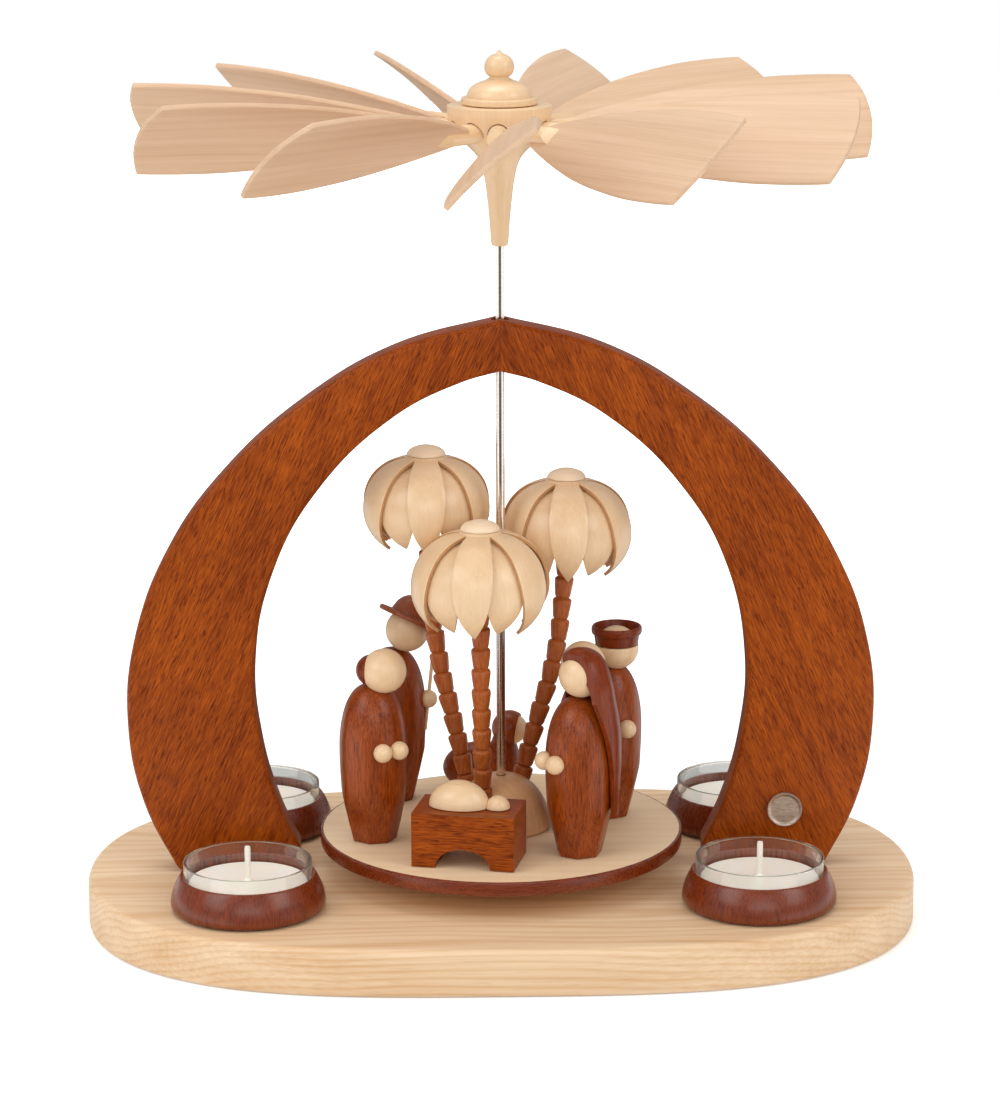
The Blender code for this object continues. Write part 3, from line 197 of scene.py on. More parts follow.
# %% Timber material
def timber(name, pale, deep, pore, rings, streaks, clouds, pores, roughness, shine=0.25, coat=0.0,
           relief=0.1):
    """rings is (mm apart on the edge, share, times wider on the face, wander in mm).
    streaks, clouds and pores are (length in mm, width in mm, share)."""
    material, tree, surface = new_material(name)
    place = wire(tree, "ShaderNodeAttribute", output="Vector", attribute_name="timber")
    millimetres = wire(tree, "ShaderNodeVectorMath", {0: place, "Scale": 1 / MM}, operation="SCALE")

    def stretched(length, width, detail):
        """A noise whose spots are this long and wide, in mm, from about -1 to 1."""
        scale = (1 / length, 1 / width, 1 / width)
        squeezed = wire(tree, "ShaderNodeMapping", {"Vector": millimetres, "Scale": scale})
        spots = {"Vector": squeezed, "Scale": 1.0, "Detail": detail}
        noise = wire(tree, "ShaderNodeTexNoise", spots, "Fac")
        return (noise - 0.5) * 3.2

    ring_gap, ring_share, times_wider, wander = rings
    axes = wires(tree, "ShaderNodeSeparateXYZ", {0: millimetres})
    across = axes["Z"] + axes["Y"] / times_wider
    year = maths("FRACT", (across + stretched(110, 22, 1.0) * wander) / ring_gap)
    late = maths("SINE", year ** 2.0 * math.pi) ** 2.0
    fine = stretched(streaks[0], streaks[1], 3.0)
    cloud = stretched(clouds[0], clouds[1], 1.0)
    tone = (0.5 + ring_share / 3) - late * ring_share + fine * (streaks[2] / 2) + cloud * (clouds[2] / 2)
    # Only the peaks of the last noise are pores.
    spots = rescale(stretched(pores[0], pores[1], 1.0), 0.22, 0.75, 0.0, pores[2])
    plug(blend(spots, ramp(tone, (0.0, deep), (1.0, pale)), linear(pore)), surface["Base Color"])
    plug(fine * 0.04 + roughness, surface["Roughness"])
    bump = {"Height": fine - spots, "Strength": relief, "Distance": 0.08 * MM}
    plug(wire(tree, "ShaderNodeBump", bump), surface["Normal"])
    surface["Specular IOR Level"].default_value = shine
    surface["Coat Weight"].default_value = coat
    surface["Coat Roughness"].default_value = 0.12
    return material


# Ash shows its growth rings as clear honey lines, close together on the edge and wide on the face.
ash = timber("satin lacquered ash", "#F4DBBA", "#D6AA7A", "#B98A58", (2.3, 0.26, 2.8, 2.6), (50, 0.9, 0.45),
             (110, 10, 0.50), (9, 0.45, 0.15), 0.44)
# Maple is close and even, so it is almost plain.
maple = timber("fine sanded maple", "#F5D7B0", "#E0B98B", "#CFA576", (2.6, 0.06, 1.3, 1.5), (10, 0.6, 0.35),
               (30, 7, 0.45), (3, 0.4, 0.08), 0.30, shine=0.7, relief=0.04)
# The palms' buttons are turned from the palest stock, which sets them off from the crowns.
pale_maple = timber("pale turned maple", "#FFE9CC", "#F0D2AC", "#DDB98E", (2.6, 0.06, 1.3, 1.5),
                    (10, 0.6, 0.08), (30, 7, 0.3), (3, 0.4, 0.02), 0.34, shine=0.4, relief=0.005)
# Where the saw has cut the fronds apart the maple is left rougher; its browner colour there is painted
# shade, for the dark lines between the fronds.
sawn_rim_shade_maple = timber("sawn maple edge with painted shade", "#D8A877", "#B98250", "#9C6A3C", (2.6, 0.16, 1.3, 1.5),
                    (6, 0.4, 0.6), (20, 4, 0.4), (2, 0.4, 0.2), 0.6, relief=0.2)
# Limewood, for the thin blades, is a shade greyer and silkier than maple, with a straight fine grain.
limewood = timber("planed limewood", "#E6C6A8", "#CDA886", "#BE9872", (3.0, 0.14, 1.6, 1.5), (60, 0.7, 0.5),
                  (120, 8, 0.50), (9, 0.4, 0.12), 0.46, relief=0.05)
# Steamed beech is the pinkish brown of the mound, with short flecks.
beech = timber("steamed beech", "#F6C494", "#DEA874", "#BE8656", (3.0, 0.15, 1.4, 2.0), (12, 0.6, 0.5),
               (40, 6, 0.3), (2.4, 0.5, 0.30), 0.34, shine=0.35, coat=0.1, relief=0.05)
# Mahogany has open pores up to 4 mm long and a ribbon figure of pale and dark bands.
mahogany = timber("lacquered mahogany", "#B2540D", "#6C2803", "#4C1401", (5.0, 0.12, 1.5, 3.0),
                  (6.0, 0.45, 1.3), (35, 8, 0.45), (3.2, 0.42, 0.75), 0.34, shine=0.15, relief=0.2)
# On the turned robes the lathe has burnished the same timber, so it is darker and the pores are closed.
burnished = timber("burnished mahogany", "#AA4E10", "#642203", "#461402", (4.0, 0.15, 1.5, 3.0),
                   (6, 0.45, 1.1), (40, 7, 0.45), (3.0, 0.42, 0.6), 0.30, shine=0.4, relief=0.12)
# The palms' trunks are the same timber, only oiled, which keeps it a shade lighter.
oiled = timber("oiled mahogany", "#C86E32", "#964616", "#702E08", (4.0, 0.10, 1.5, 2.0), (9, 0.6, 0.8),
               (20, 5, 0.35), (3.0, 0.4, 0.55), 0.30, shine=0.45, relief=0.12)
# The darkest parts are the same timber again, under a red-brown stain.
stained = timber("stained mahogany", "#8E3A10", "#581E06", "#3A1202", (4.0, 0.12, 1.5, 2.0), (12, 0.6, 0.6),
                 (30, 6, 0.4), (3.5, 0.45, 0.5), 0.28, shine=0.6, relief=0.10)
# Hair, veil and headwear are stained the same, but less polished, so they look deeper.
deep_stained = timber("deep stained mahogany", "#923A0A", "#581C03", "#3C1001", (4.0, 0.12, 1.5, 2.0),
                      (12, 0.5, 0.8), (30, 6, 0.4), (3.5, 0.45, 0.5), 0.30, shine=0.35, relief=0.08)
print("timbers:", ash.name, maple.name, limewood.name, beech.name, mahogany.name, burnished.name,
      oiled.name, stained.name, deep_stained.name)

# %% [markdown]
# ## Metal, glass, wax and cotton
# The spindle is ground steel, so its fine turning marks run round it. The disc on the leg is pewter
# grey with a brushed face. The cups are pressed soda glass, which is faintly green where it is thick.
# Paraffin wax lets light in a little way, which keeps its edges soft.


# %% Plain materials
def plain(name, colour, roughness, **others):
    material, tree, surface = new_material(name)
    surface["Base Color"].default_value = linear(colour)
    surface["Roughness"].default_value = roughness
    for key, value in others.items():
        surface[key.replace("_", " ")].default_value = value
    return material


def mottle(material, scale_mm, stretch, dark, light, roughness, bump):
    """A fine uneven surface: a noise of a real size drives tone, roughness and relief."""
    tree = material.node_tree
    surface = tree.nodes["Principled BSDF"].inputs
    place = wire(tree, "ShaderNodeTexCoord", output="Object")
    scale = tuple(1 / (scale_mm * share * MM) for share in stretch)
    spread = wire(tree, "ShaderNodeMapping", {"Vector": place, "Scale": scale})
    noise = wire(tree, "ShaderNodeTexNoise", {"Vector": spread, "Scale": 1.0, "Detail": 3.0}, "Fac")
    plug(ramp(noise, (0.3, dark), (0.7, light)), surface["Base Color"])
    plug(rescale(noise, 0.0, 1.0, roughness - 0.06, roughness + 0.06), surface["Roughness"])
    relief = {"Height": noise, "Strength": bump, "Distance": 0.1 * MM}
    plug(wire(tree, "ShaderNodeBump", relief), surface["Normal"])
    return material


steel = mottle(plain("ground steel rod", "#E8E2DA", 0.18, Metallic=1.0), 0.4, (8, 8, 1),
               "#E2DCD3", "#F2EEE8", 0.18, 0.03)
brass = mottle(plain("turned brass", "#B9974F", 0.30, Metallic=1.0), 0.5, (4, 4, 1),
               "#A8873F", "#CBAA62", 0.30, 0.06)
pewter = mottle(plain("brushed pewter", "#CDB9A8", 0.36, Metallic=1.0), 0.35, (6, 1, 1),
                "#B8A290", "#E2D0C0", 0.36, 0.10)
wax = mottle(plain("paraffin wax", "#FAF5E8", 0.5, Subsurface_Weight=0.2, Subsurface_Scale=0.003), 6.0,
             (1, 1, 1), "#FFF8E8", "#FEFAF0", 0.48, 0.04)
cotton = mottle(plain("braided cotton wick", "#F3EDE0", 0.85), 0.5, (1, 1, 0.5),
                "#E6DDCB", "#FAF6EC", 0.85, 0.4)
glass = plain("pressed soda glass", "#FBFDFB", 0.02, Transmission_Weight=1.0, IOR=1.45)
# A lamp's light goes straight through the thin glass on to the wax, so the glass casts almost no shadow.
tree = glass.node_tree
clear = wire(tree, "ShaderNodeBsdfTransparent", {"Color": linear("#FDFEFD")})
rays = wires(tree, "ShaderNodeLightPath")
straight = maths("MAXIMUM", maths("MAXIMUM", rays["Is Shadow Ray"], rays["Is Diffuse Ray"]), 0.2)
solid_glass = Wire(tree.nodes["Principled BSDF"].outputs[0])
mixed = wire(tree, "ShaderNodeMixShader", {0: straight, 1: solid_glass, 2: clear})
plug(mixed, tree.nodes["Material Output"].inputs["Surface"])
print("plain finishes:", steel.name, pewter.name, glass.name, wax.name)

# %% [markdown]
# ## From a local shape to a finished piece
# Every piece is drawn in millimetres in its own frame, with the lathe's axis or the board's grain
# where it is easiest to think about. `finish` notes the timber coordinates, moves the piece to its
# place, lets it ride on its body and hides the CAD solids that it stands for.


# %% Finishing helper
def to_mesh(name, shape):
    """A bmesh as a mesh. The bmesh is used up."""
    mesh = bpy.data.meshes.new(name)
    shape.to_mesh(mesh)
    shape.free()
    return mesh


def to_shape(mesh):
    shape = bmesh.new()
    shape.from_mesh(mesh)
    return shape


def in_scene(name, data):
    """A new object in the scene."""
    thing = bpy.data.objects.new(name, data)
    bpy.context.scene.collection.objects.link(thing)
    return thing


def evaluated(thing):
    """What a temporary object's modifiers make of it. The object is used up."""
    bpy.context.view_layer.update()
    mesh = bpy.data.meshes.new_from_object(thing.evaluated_get(bpy.context.evaluated_depsgraph_get()))
    bpy.data.objects.remove(thing, do_unlink=True)
    return mesh


def note_timber(mesh, name, grain):
    """Timber coordinates in metres, X along the grain, from a place in the log that follows the name."""
    order = {"X": (0, 1, 2), "Z": (2, 0, 1)}[grain]
    log = sum(map(ord, name)) % 97
    store = mesh.attributes.new("timber", "FLOAT_VECTOR", "POINT")
    for vertex, value in zip(mesh.vertices, store.data):
        x, y, z = (vertex.co[i] * MM for i in order)
        value.vector = (x + log * 0.004, y + log * 0.007, z + log * 0.003)


def finish(name, shape, matrix, material, node, grain="Z", smooth=38):
    """shape is a bmesh in millimetres, or a mesh that already has its timber coordinates."""
    mesh = shape
    if isinstance(shape, bmesh.types.BMesh):
        bmesh.ops.remove_doubles(shape, verts=shape.verts, dist=0.002)
        bmesh.ops.recalc_face_normals(shape, faces=shape.faces)
        mesh = to_mesh(name, shape)
        note_timber(mesh, name, grain)
    mesh.transform(Matrix.Scale(MM, 4) @ matrix)
    finishes = [polygon.material_index for polygon in mesh.polygons]
    mesh.materials.clear()
    for each in material if isinstance(material, list) else [material]:
        mesh.materials.append(each)
    for polygon, number in zip(mesh.polygons, finishes):
        polygon.material_index = min(number, len(mesh.materials) - 1)
    mesh.shade_smooth()
    mesh.set_sharp_from_angle(angle=math.radians(smooth))
    piece = in_scene(name, mesh)
    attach(piece, frame["nodes"][node]["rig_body"])
    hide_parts(node)


def at(x=0.0, y=0.0, z=0.0):
    """A move or a place in millimetres."""
    return Matrix.Translation((x, y, z))


def turn(axis, degrees):
    return Matrix.Rotation(math.radians(degrees), 4, axis)


# %% [markdown]
# ## Turned pieces
# Most pieces came off a lathe, so they are a profile spun round an axis. The profile is a short list
# of (radius, height) points. A smooth curve is drawn through them, and a point given twice is a crisp
# corner, which is how a turner marks out a template.


# %% Lathe
def soft(points, steps=5):
    """A smooth line through the points, with a corner at each point that comes twice."""
    runs = [[points[0]]]
    for before, point in zip(points, points[1:]):
        if point == before:
            runs.append([point])
        else:
            runs[-1].append(point)
    line = []
    for run in runs:
        if len(run) < 3:
            line += run
            continue
        ends = [run[0]] + run + [run[-1]]
        for a, b, c, d in zip(ends, ends[1:], ends[2:], ends[3:]):
            for step in range(steps):
                t = step / steps
                line.append(tuple(
                    0.5 * (2 * q + (r - p) * t + (2 * p - 5 * q + 4 * r - s) * t * t
                           + (3 * q - p - 3 * r + s) * t ** 3) for p, q, r, s in zip(a, b, c, d)))
        line.append(run[-1])
    return line


def lathe(profile, steps=72, closed=False):
    """Spin (radius, height) points round Z into a bmesh. Points on the axis close the piece."""
    shape = bmesh.new()
    line = list(profile) + ([profile[0]] if closed else [])
    for (r0, z0), (r1, z1) in zip(line, line[1:]):
        if max(r0, r1) < 1e-6 or (abs(r0 - r1) < 1e-6 and abs(z0 - z1) < 1e-6):
            continue
        for step in range(steps):
            a, b = math.tau * step / steps, math.tau * (step + 1) / steps
            corners = [(r0 * math.cos(a), r0 * math.sin(a), z0), (r0 * math.cos(b), r0 * math.sin(b), z0),
                       (r1 * math.cos(b), r1 * math.sin(b), z1), (r1 * math.cos(a), r1 * math.sin(a), z1)]
            if r0 < 1e-6:
                corners = corners[1:]
            elif r1 < 1e-6:
                corners = corners[:3]
            shape.faces.new([shape.verts.new(corner) for corner in corners])
    bmesh.ops.remove_doubles(shape, verts=shape.verts, dist=0.0005)
    return shape


print("a soft line through 4 points has", len(soft([(0, 0), (1, 2), (3, 3), (4, 0)])), "points")

# %% [markdown]
# ## Cutting, joining and rounding
# The rest is bench work on shapes in millimetres: they are moved, sawn off at a plane, cut with
# another shape, gathered into one, or rounded at their edges.


# %% Bench tools
def moved(shape, matrix):
    bmesh.ops.transform(shape, matrix=matrix, verts=shape.verts)
    return shape


def saw(shape, point, normal):
    """Saw off what lies beyond a plane and close the cut."""
    bmesh.ops.bisect_plane(shape, geom=shape.verts[:] + shape.edges[:] + shape.faces[:], dist=0.001,
                           plane_co=point, plane_no=normal, clear_outer=True)
    bmesh.ops.holes_fill(shape, edges=[edge for edge in shape.edges if edge.is_boundary])


def carve(shape, cutter, operation="DIFFERENCE"):
    """Cut one shape with another."""
    things = []
    for part in (shape, cutter):
        bmesh.ops.remove_doubles(part, verts=part.verts, dist=0.001)
        bmesh.ops.recalc_face_normals(part, faces=part.faces)
        things.append(in_scene("carve", to_mesh("carve", part)))
    boolean = things[0].modifiers.new("cut", "BOOLEAN")
    boolean.object = things[1]
    boolean.operation = operation
    boolean.solver = "EXACT"
    result = to_shape(evaluated(things[0]))
    bpy.data.objects.remove(things[1], do_unlink=True)
    return result


def gather(parts):
    whole = bmesh.new()
    for part in parts:
        whole.from_mesh(to_mesh("part", part))
    return whole


def round_edges(thing, width, segments, angle):
    """Round the edges of an object that are sharper than the angle, in degrees."""
    bevel = thing.modifiers.new("rounded edges", "BEVEL")
    bevel.width = width
    bevel.segments = segments
    bevel.limit_method = "ANGLE"
    bevel.angle_limit = math.radians(angle)


def stack(rings):
    """Walls between outlines at their heights, closed by a face at each end."""
    shape = bmesh.new()
    loops = [[shape.verts.new((x, y, z)) for x, y in ring] for ring, z in rings]
    for low, high in zip(loops, loops[1:]):
        for i in range(len(low)):
            j = (i + 1) % len(low)
            shape.faces.new((low[i], low[j], high[j], high[i]))
    shape.faces.new(loops[0][::-1])
    shape.faces.new(loops[-1])
    return shape


def ball(radius, segments=48):
    shape = bmesh.new()
    bmesh.ops.create_uvsphere(shape, u_segments=segments, v_segments=segments // 2, radius=radius)
    return shape


def block(x, y, z):
    """A box between limits."""
    shape = bmesh.new()
    middle = at(sum(x) / 2, sum(y) / 2, sum(z) / 2)
    size = Matrix.Diagonal((x[1] - x[0], y[1] - y[0], z[1] - z[0], 1))
    bmesh.ops.create_cube(shape, size=1.0, matrix=middle @ size)
    return shape


print("a block has", len(block((0, 1), (0, 1), (0, 1)).faces), "faces")

# %% [markdown]
# ## Camera, floor and light
# The picture was taken from in front with a long lens, from about 1.2 m away and a little above. The
# lamps are large and soft, as in a product studio, and the floor and the backdrop look plain white;
# in gloss they show painted reflections.

# %% Camera
PAN, TILT, ROLL = 0.0210, 0.2352, -0.0026  # in radians
LENS, SENSOR = 129.63, 36.0
CAMERA_AT = (-0.02517, -1.19, 0.41359)  # in metres
ahead = Vector((math.sin(PAN) * math.cos(TILT), math.cos(PAN) * math.cos(TILT), -math.sin(TILT)))
level = Vector((math.cos(PAN), -math.sin(PAN), 0.0))
upright = level.cross(ahead)
right = math.cos(ROLL) * level + math.sin(ROLL) * upright
above = math.cos(ROLL) * upright - math.sin(ROLL) * level
camera_data = bpy.data.cameras.new("camera")
camera_data.lens = LENS
camera_data.sensor_width = SENSOR
camera_data.sensor_fit = "HORIZONTAL"
camera_data.clip_end = 20.0
camera = in_scene("camera", camera_data)
camera.matrix_world = at(*CAMERA_AT) @ Matrix((right, above, -ahead)).transposed().to_4x4()
bpy.context.scene.camera = camera
bpy.context.scene.view_settings.view_transform = "Standard"
print("camera", [round(c, 3) for c in camera.location])

# %% Floor and backdrop
# The camera sees the paper a little brighter than it is lit, and all white away from the object.
WHITE = (1.0, 1.0, 1.0, 1.0)
floor_shape = bmesh.new()
bmesh.ops.create_grid(floor_shape, x_segments=1, y_segments=1, size=2.5, matrix=at(z=-0.3 * MM))
floor = in_scene("floor", to_mesh("floor", floor_shape))
paper, tree, surface = new_material("white paper sweep")
surface["Roughness"].default_value = 0.9
place = wire(tree, "ShaderNodeNewGeometry", output="Position")
distance = wire(tree, "ShaderNodeVectorMath", {0: place}, "Value", operation="LENGTH")
# In the gloss of lacquer and steel the floor is painted pale at the sides and dark in front and behind,
# a painted reflection that stands in for black flags.
heading = wire(tree, "ShaderNodeVectorMath", {0: place}, operation="NORMALIZE")
sideways = maths("ABSOLUTE", wires(tree, "ShaderNodeSeparateXYZ", {0: heading})["X"])
painted_side_share = rescale(sideways, 0.45, 0.70)
painted_gloss_tone = blend(painted_side_share, linear("#4E4B47"), linear("#F6F5F3"))
rays = wires(tree, "ShaderNodeLightPath")
plug(blend(rays["Is Glossy Ray"], linear("#F6F5F3"), painted_gloss_tone), surface["Base Color"])
# The white is for the eye and for what is seen through the glass; in the gloss of lacquer and metal the pale
# sides also glow a little, a painted reflection.
painted_side_glow = rays["Is Glossy Ray"] * painted_side_share * 0.3
seen = maths("MAXIMUM", rays["Is Camera Ray"], rays["Is Transmission Ray"])
lift = rescale(distance, 0.2, 0.8, 0.30, 1.0)
surface["Emission Color"].default_value = WHITE
plug(lift * maths("MAXIMUM", seen, painted_side_glow), surface["Emission Strength"])
floor.data.materials.append(paper)
floor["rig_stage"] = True

world = bpy.data.worlds.new("studio")
bpy.context.scene.world = world
world.use_nodes = True
tree = world.node_tree
rays = wires(tree, "ShaderNodeLightPath")
seen = maths("MAXIMUM", rays["Is Camera Ray"], rays["Is Transmission Ray"])
# The world lights the object at 0.66 but shows only 0.35 in gloss, a painted darker reflection.
world_light_dimmed_in_gloss = rescale(rays["Is Glossy Ray"], 0.0, 1.0, 0.66, 0.35)
backdrop = tree.nodes["Background"].inputs
backdrop["Color"].default_value = WHITE
plug(wire(tree, "ShaderNodeMix", {0: seen, 2: world_light_dimmed_in_gloss, 3: 1.0}, data_type="FLOAT"), backdrop["Strength"])
print("floor and white backdrop")


# %% Soft lamps
def lamp(name, place, width, height, watts):
    """An area lamp, in metres, that looks at the middle of the object."""
    data = bpy.data.lights.new(name, "AREA")
    data.shape = "RECTANGLE"
    data.size = width
    data.size_y = height
    data.energy = watts
    lamp_object = in_scene(name, data)
    lamp_object.location = place
    aim = Vector((0.0, 0.0, 0.14)) - Vector(place)
    lamp_object.rotation_euler = aim.to_track_quat("-Z", "Y").to_euler()


lamp("left softbox", (-1.5, -1.1, 1.4), 1.2, 1.3, 11.0)
lamp("right softbox", (1.6, -1.1, 1.3), 1.0, 1.2, 9.0)
lamp("top softbox", (-0.3, 0.2, 2.4), 1.6, 1.2, 19.0)
lamp("front softbox", (0.1, -2.2, 0.85), 1.6, 0.6, 5.5)
print("lamps: 4")

# %% [markdown]
# ## The board
# An oval board of ash, 16 mm thick, flatter along its sides than round its ends, with its top edge
# rounded over. A plain scaled circle would be too pointed, so the outline is a superellipse with its
# own power for each axis, and the rounding is a stack of outlines moved inwards.

# %% Board
BOARD_HALF, BOARD_HALF_DEPTH, BOARD_TOP = 142.6, 88.8, 16.0
LONG_POWER, DEEP_POWER = 3.3, 2.14
EDGE_ROUND = 2.6
SEAT = BOARD_TOP + 0.3  # what is glued on the board stands on this height


def signed(value, power):
    return math.copysign(abs(value) ** power, value)


def board_outline(inset, count=220):
    ring = []
    for step in range(count):
        angle = math.tau * step / count
        x = BOARD_HALF * signed(math.cos(angle), 2 / LONG_POWER)
        y = BOARD_HALF_DEPTH * signed(math.sin(angle), 2 / DEEP_POWER)
        out_x = signed(x / BOARD_HALF, LONG_POWER - 1) / BOARD_HALF
        out_y = signed(y / BOARD_HALF_DEPTH, DEEP_POWER - 1) / BOARD_HALF_DEPTH
        size = math.hypot(out_x, out_y)
        ring.append((x - inset * out_x / size, y - inset * out_y / size))
    return ring


board_edge = [(0.8, 0.0), (0.25, 0.25), (0.0, 0.8)]  # how far in, at each height
for degrees in range(0, 91, 15):
    angle = math.radians(degrees)
    board_edge.append((EDGE_ROUND - EDGE_ROUND * math.cos(angle),
                       BOARD_TOP - EDGE_ROUND + EDGE_ROUND * math.sin(angle)))
finish("board_oval", stack([(board_outline(inset), z) for inset, z in board_edge]), at(), ash, "board",
       grain="X", smooth=30)
print("board outline points:", len(board_outline(0)))

# %% [markdown]
# ## The arch
# The two legs are sawn from mahogany boards, so the grain leans the same way all through a leg, and
# they meet in a glued joint under the point. One closed curve draws the whole arch, its edges are
# rounded, the bush's bore goes down through the top, and the result is split at the joint.

# %% Arch
ARCH_OUT = [(111.3, 0), (122.6, 24), (127.6, 51.8), (124.9, 81.5), (113.2, 112.1), (94.2, 138.8),
            (64.9, 165.1), (34.8, 182.3)]
ARCH_IN = [(13.0, 170.5), (36.3, 158.5), (62.6, 132.6), (76.9, 106.4), (84.0, 73.2), (82.2, 46.0),
           (75.9, 22.6)]
ARCH_RISE, WINDOW_RISE, HEEL = 191.7, 174.2, (69.5, 8.6)
ARCH_HALF_DEPTH, ARCH_ROUND = 7.0, 2.0
BORE_RADIUS, BORE_MIDDLE, BORE_REACH = 3.0, 186, 20
GRAIN_LEAN = 66  # in degrees, from upright
JOINT_HALF = 0.03  # half the glue line


def arch_curve():
    outer = [(ARCH_OUT[0], "VECTOR")] + [(p, "AUTO") for p in ARCH_OUT[1:]]
    inner = [(p, "AUTO") for p in ARCH_IN] + [(HEEL, "VECTOR"), ((HEEL[0], 0), "VECTOR")]
    half = outer + [((0, ARCH_RISE), "VECTOR")]
    window = [((0, WINDOW_RISE), "VECTOR")] + inner
    painted_side_glow = [((-x, z), kind) for (x, z), kind in half[-2::-1] + window[:0:-1]]
    curve = bpy.data.curves.new("arch", "CURVE")
    curve.dimensions = "2D"
    curve.fill_mode = "BOTH"
    curve.extrude = ARCH_HALF_DEPTH
    curve.resolution_u = 10
    spline = curve.splines.new("BEZIER")
    points = half + painted_side_glow + window
    spline.bezier_points.add(len(points) - 1)
    for knot, ((x, z), kind) in zip(spline.bezier_points, points):
        knot.co = (x, z, 0)
        knot.handle_left_type = knot.handle_right_type = kind
    spline.use_cyclic_u = True
    return curve


arch_shape = to_shape(evaluated(in_scene("arch_flat", arch_curve())))
bmesh.ops.remove_doubles(arch_shape, verts=arch_shape.verts, dist=0.01)
bmesh.ops.dissolve_limit(arch_shape, angle_limit=math.radians(0.3), verts=arch_shape.verts,
                         edges=arch_shape.edges)
bmesh.ops.recalc_face_normals(arch_shape, faces=arch_shape.faces)
arch_solid = in_scene("arch_solid", to_mesh("arch_solid", arch_shape))
round_edges(arch_solid, ARCH_ROUND, 4, 55)
bore_shape = lathe([(0, -BORE_REACH), (BORE_RADIUS, -BORE_REACH), (BORE_RADIUS, BORE_REACH),
                    (0, BORE_REACH)], 32)
bore = in_scene("bore", to_mesh("bore", moved(bore_shape, at(y=BORE_MIDDLE) @ turn("X", -90))))
drill = arch_solid.modifiers.new("bore for the bush", "BOOLEAN")
drill.object = bore
drill.solver = "EXACT"
arch_mesh = evaluated(arch_solid)
bpy.data.objects.remove(bore, do_unlink=True)
for side, node in ((-1, "arch_left"), (1, "arch_right")):
    leg = to_shape(arch_mesh)
    saw(leg, (side * JOINT_HALF, 0, 0), (-side, 0, 0))
    bmesh.ops.recalc_face_normals(leg, faces=leg.faces)
    leg_mesh = to_mesh(node, leg)
    lean = math.radians(-GRAIN_LEAN * side)
    store = leg_mesh.attributes.new("timber", "FLOAT_VECTOR", "POINT")
    for vertex, value in zip(leg_mesh.vertices, store.data):
        x, z, y = vertex.co * MM
        value.vector = (x * math.cos(lean) + z * math.sin(lean), z * math.cos(lean) - x * math.sin(lean),
                        y + side * 0.3)
    finish("leg_" + node, leg_mesh, at(z=SEAT) @ turn("X", 90), mahogany, node, smooth=35)
print("arch faces:", len(arch_mesh.polygons))

# %% [markdown]
# ## Spindle, bush and bearing
# The fan, the spindle and the stage all hang on one ground steel rod. Its lower end is a point that
# stands in a small glass pan, which is what lets so little warm air turn so much wood. A brass bush
# in the top of the arch keeps it upright.

# %% Spindle and bearing
ROD = [(0, 273.2), (1.3, 273.2), (1.5, 273.0), (1.5, 23.5), (0, 19.5)]
finish("spindle_rod", lathe(ROD, 48), at(), steel, "spindle")
BUSH = [(1.8, 192.5), (2.5, 192.5), (2.7, 192.7), (2.7, 205.8), (2.5, 206), (1.8, 206)]
finish("bush_sleeve", lathe(BUSH, 48, closed=True), at(), brass, "guide_bush")
BLOCK = soft([(0, 16.3), (0, 16.3), (8.6, 16.3), (8.6, 16.3), (9.0, 16.9), (8.2, 18.8), (7.5, 20.2),
              (7.2, 20.5), (7.2, 20.5), (4.5, 20.5), (4.5, 20.5), (4.5, 17.5), (4.5, 17.5), (0, 17.5)], 4)
finish("bearing_block", lathe(BLOCK, 48), at(), stained, "bearing_socket")
GLASS_PAN = [(0, 17.8), (3.9, 17.8), (4.2, 18.1), (4.2, 20.0), (4.0, 20.2), (2.2, 20.2), (1.4, 19.6),
             (0, 19.2)]
finish("bearing_pan", lathe(GLASS_PAN, 48), at(), glass, "bearing_glass")
print("running gear: rod, bush, block and pan")

# %% [markdown]
# ## The stage
# The turning stage is pale on top, and its edge is stained red-brown up to a clean line. Painters
# stain the edge of a disc while it spins on the lathe, so the line is sharp. It is one disc with two
# finishes, and the finish of a face follows from where it lies.

# %% Stage
stage_top = timber("planed limewood stage", "#F8DEBA", "#EBCAA0", "#D8B288", (2.6, 0.30, 3.0, 2.0),
                   (40, 0.8, 0.35), (60, 12, 0.30), (7, 0.45, 0.15), 0.46, relief=0.05)
disc = lathe([(1.8, 24.9), (61.4, 24.9), (61.9, 25.0), (62.3, 25.4), (62.4, 25.9), (62.4, 29.2),
              (62.25, 29.65), (61.9, 29.87), (61.5, 29.9), (1.8, 29.9)], 180, closed=True)
STAINED_FROM = 61.6  # the radius where the pale top ends
for face in disc.faces:
    middle = face.calc_center_median()
    face.material_index = int(math.hypot(middle.x, middle.y) > STAINED_FROM)
finish("stage_disc", disc, at(), [stage_top, stained], "turntable", grain="X", smooth=30)
STAGE_BOSS = [(1.8, 21.5), (10.2, 21.5), (10.5, 21.8), (13.6, 24.3), (13.8, 24.6), (1.8, 24.6)]
finish("stage_boss", lathe(STAGE_BOSS, 64, closed=True), at(), stained, "turntable_boss")
print("stage 124.8 mm across")

# %% [markdown]
# ## Plain disc on the right leg
# A small pressed disc with a raised rim is let on to the front of the leg, left bare here.

# %% Disc
DISC = [(0, 0), (6.0, 0), (6.1, 0.1), (6.1, 1.0), (5.95, 1.2), (5.4, 1.2), (5.2, 1.0), (5.1, 0.85),
        (4.6, 0.78), (2.5, 0.92), (0, 0.95)]
finish("disc_plain", lathe(DISC, 64), at(97.4, -7.3, 37.2) @ turn("X", 90), pewter, "leg_disc",
       smooth=50)
print("disc 12.2 mm across")

# %% [markdown]
# ## Tealights
# Each ring is turned with a full belly, bored to take a pressed glass cup, and stained. The candle is
# cast wax with a straight cotton wick. All four are alike, so one loop sets them out.

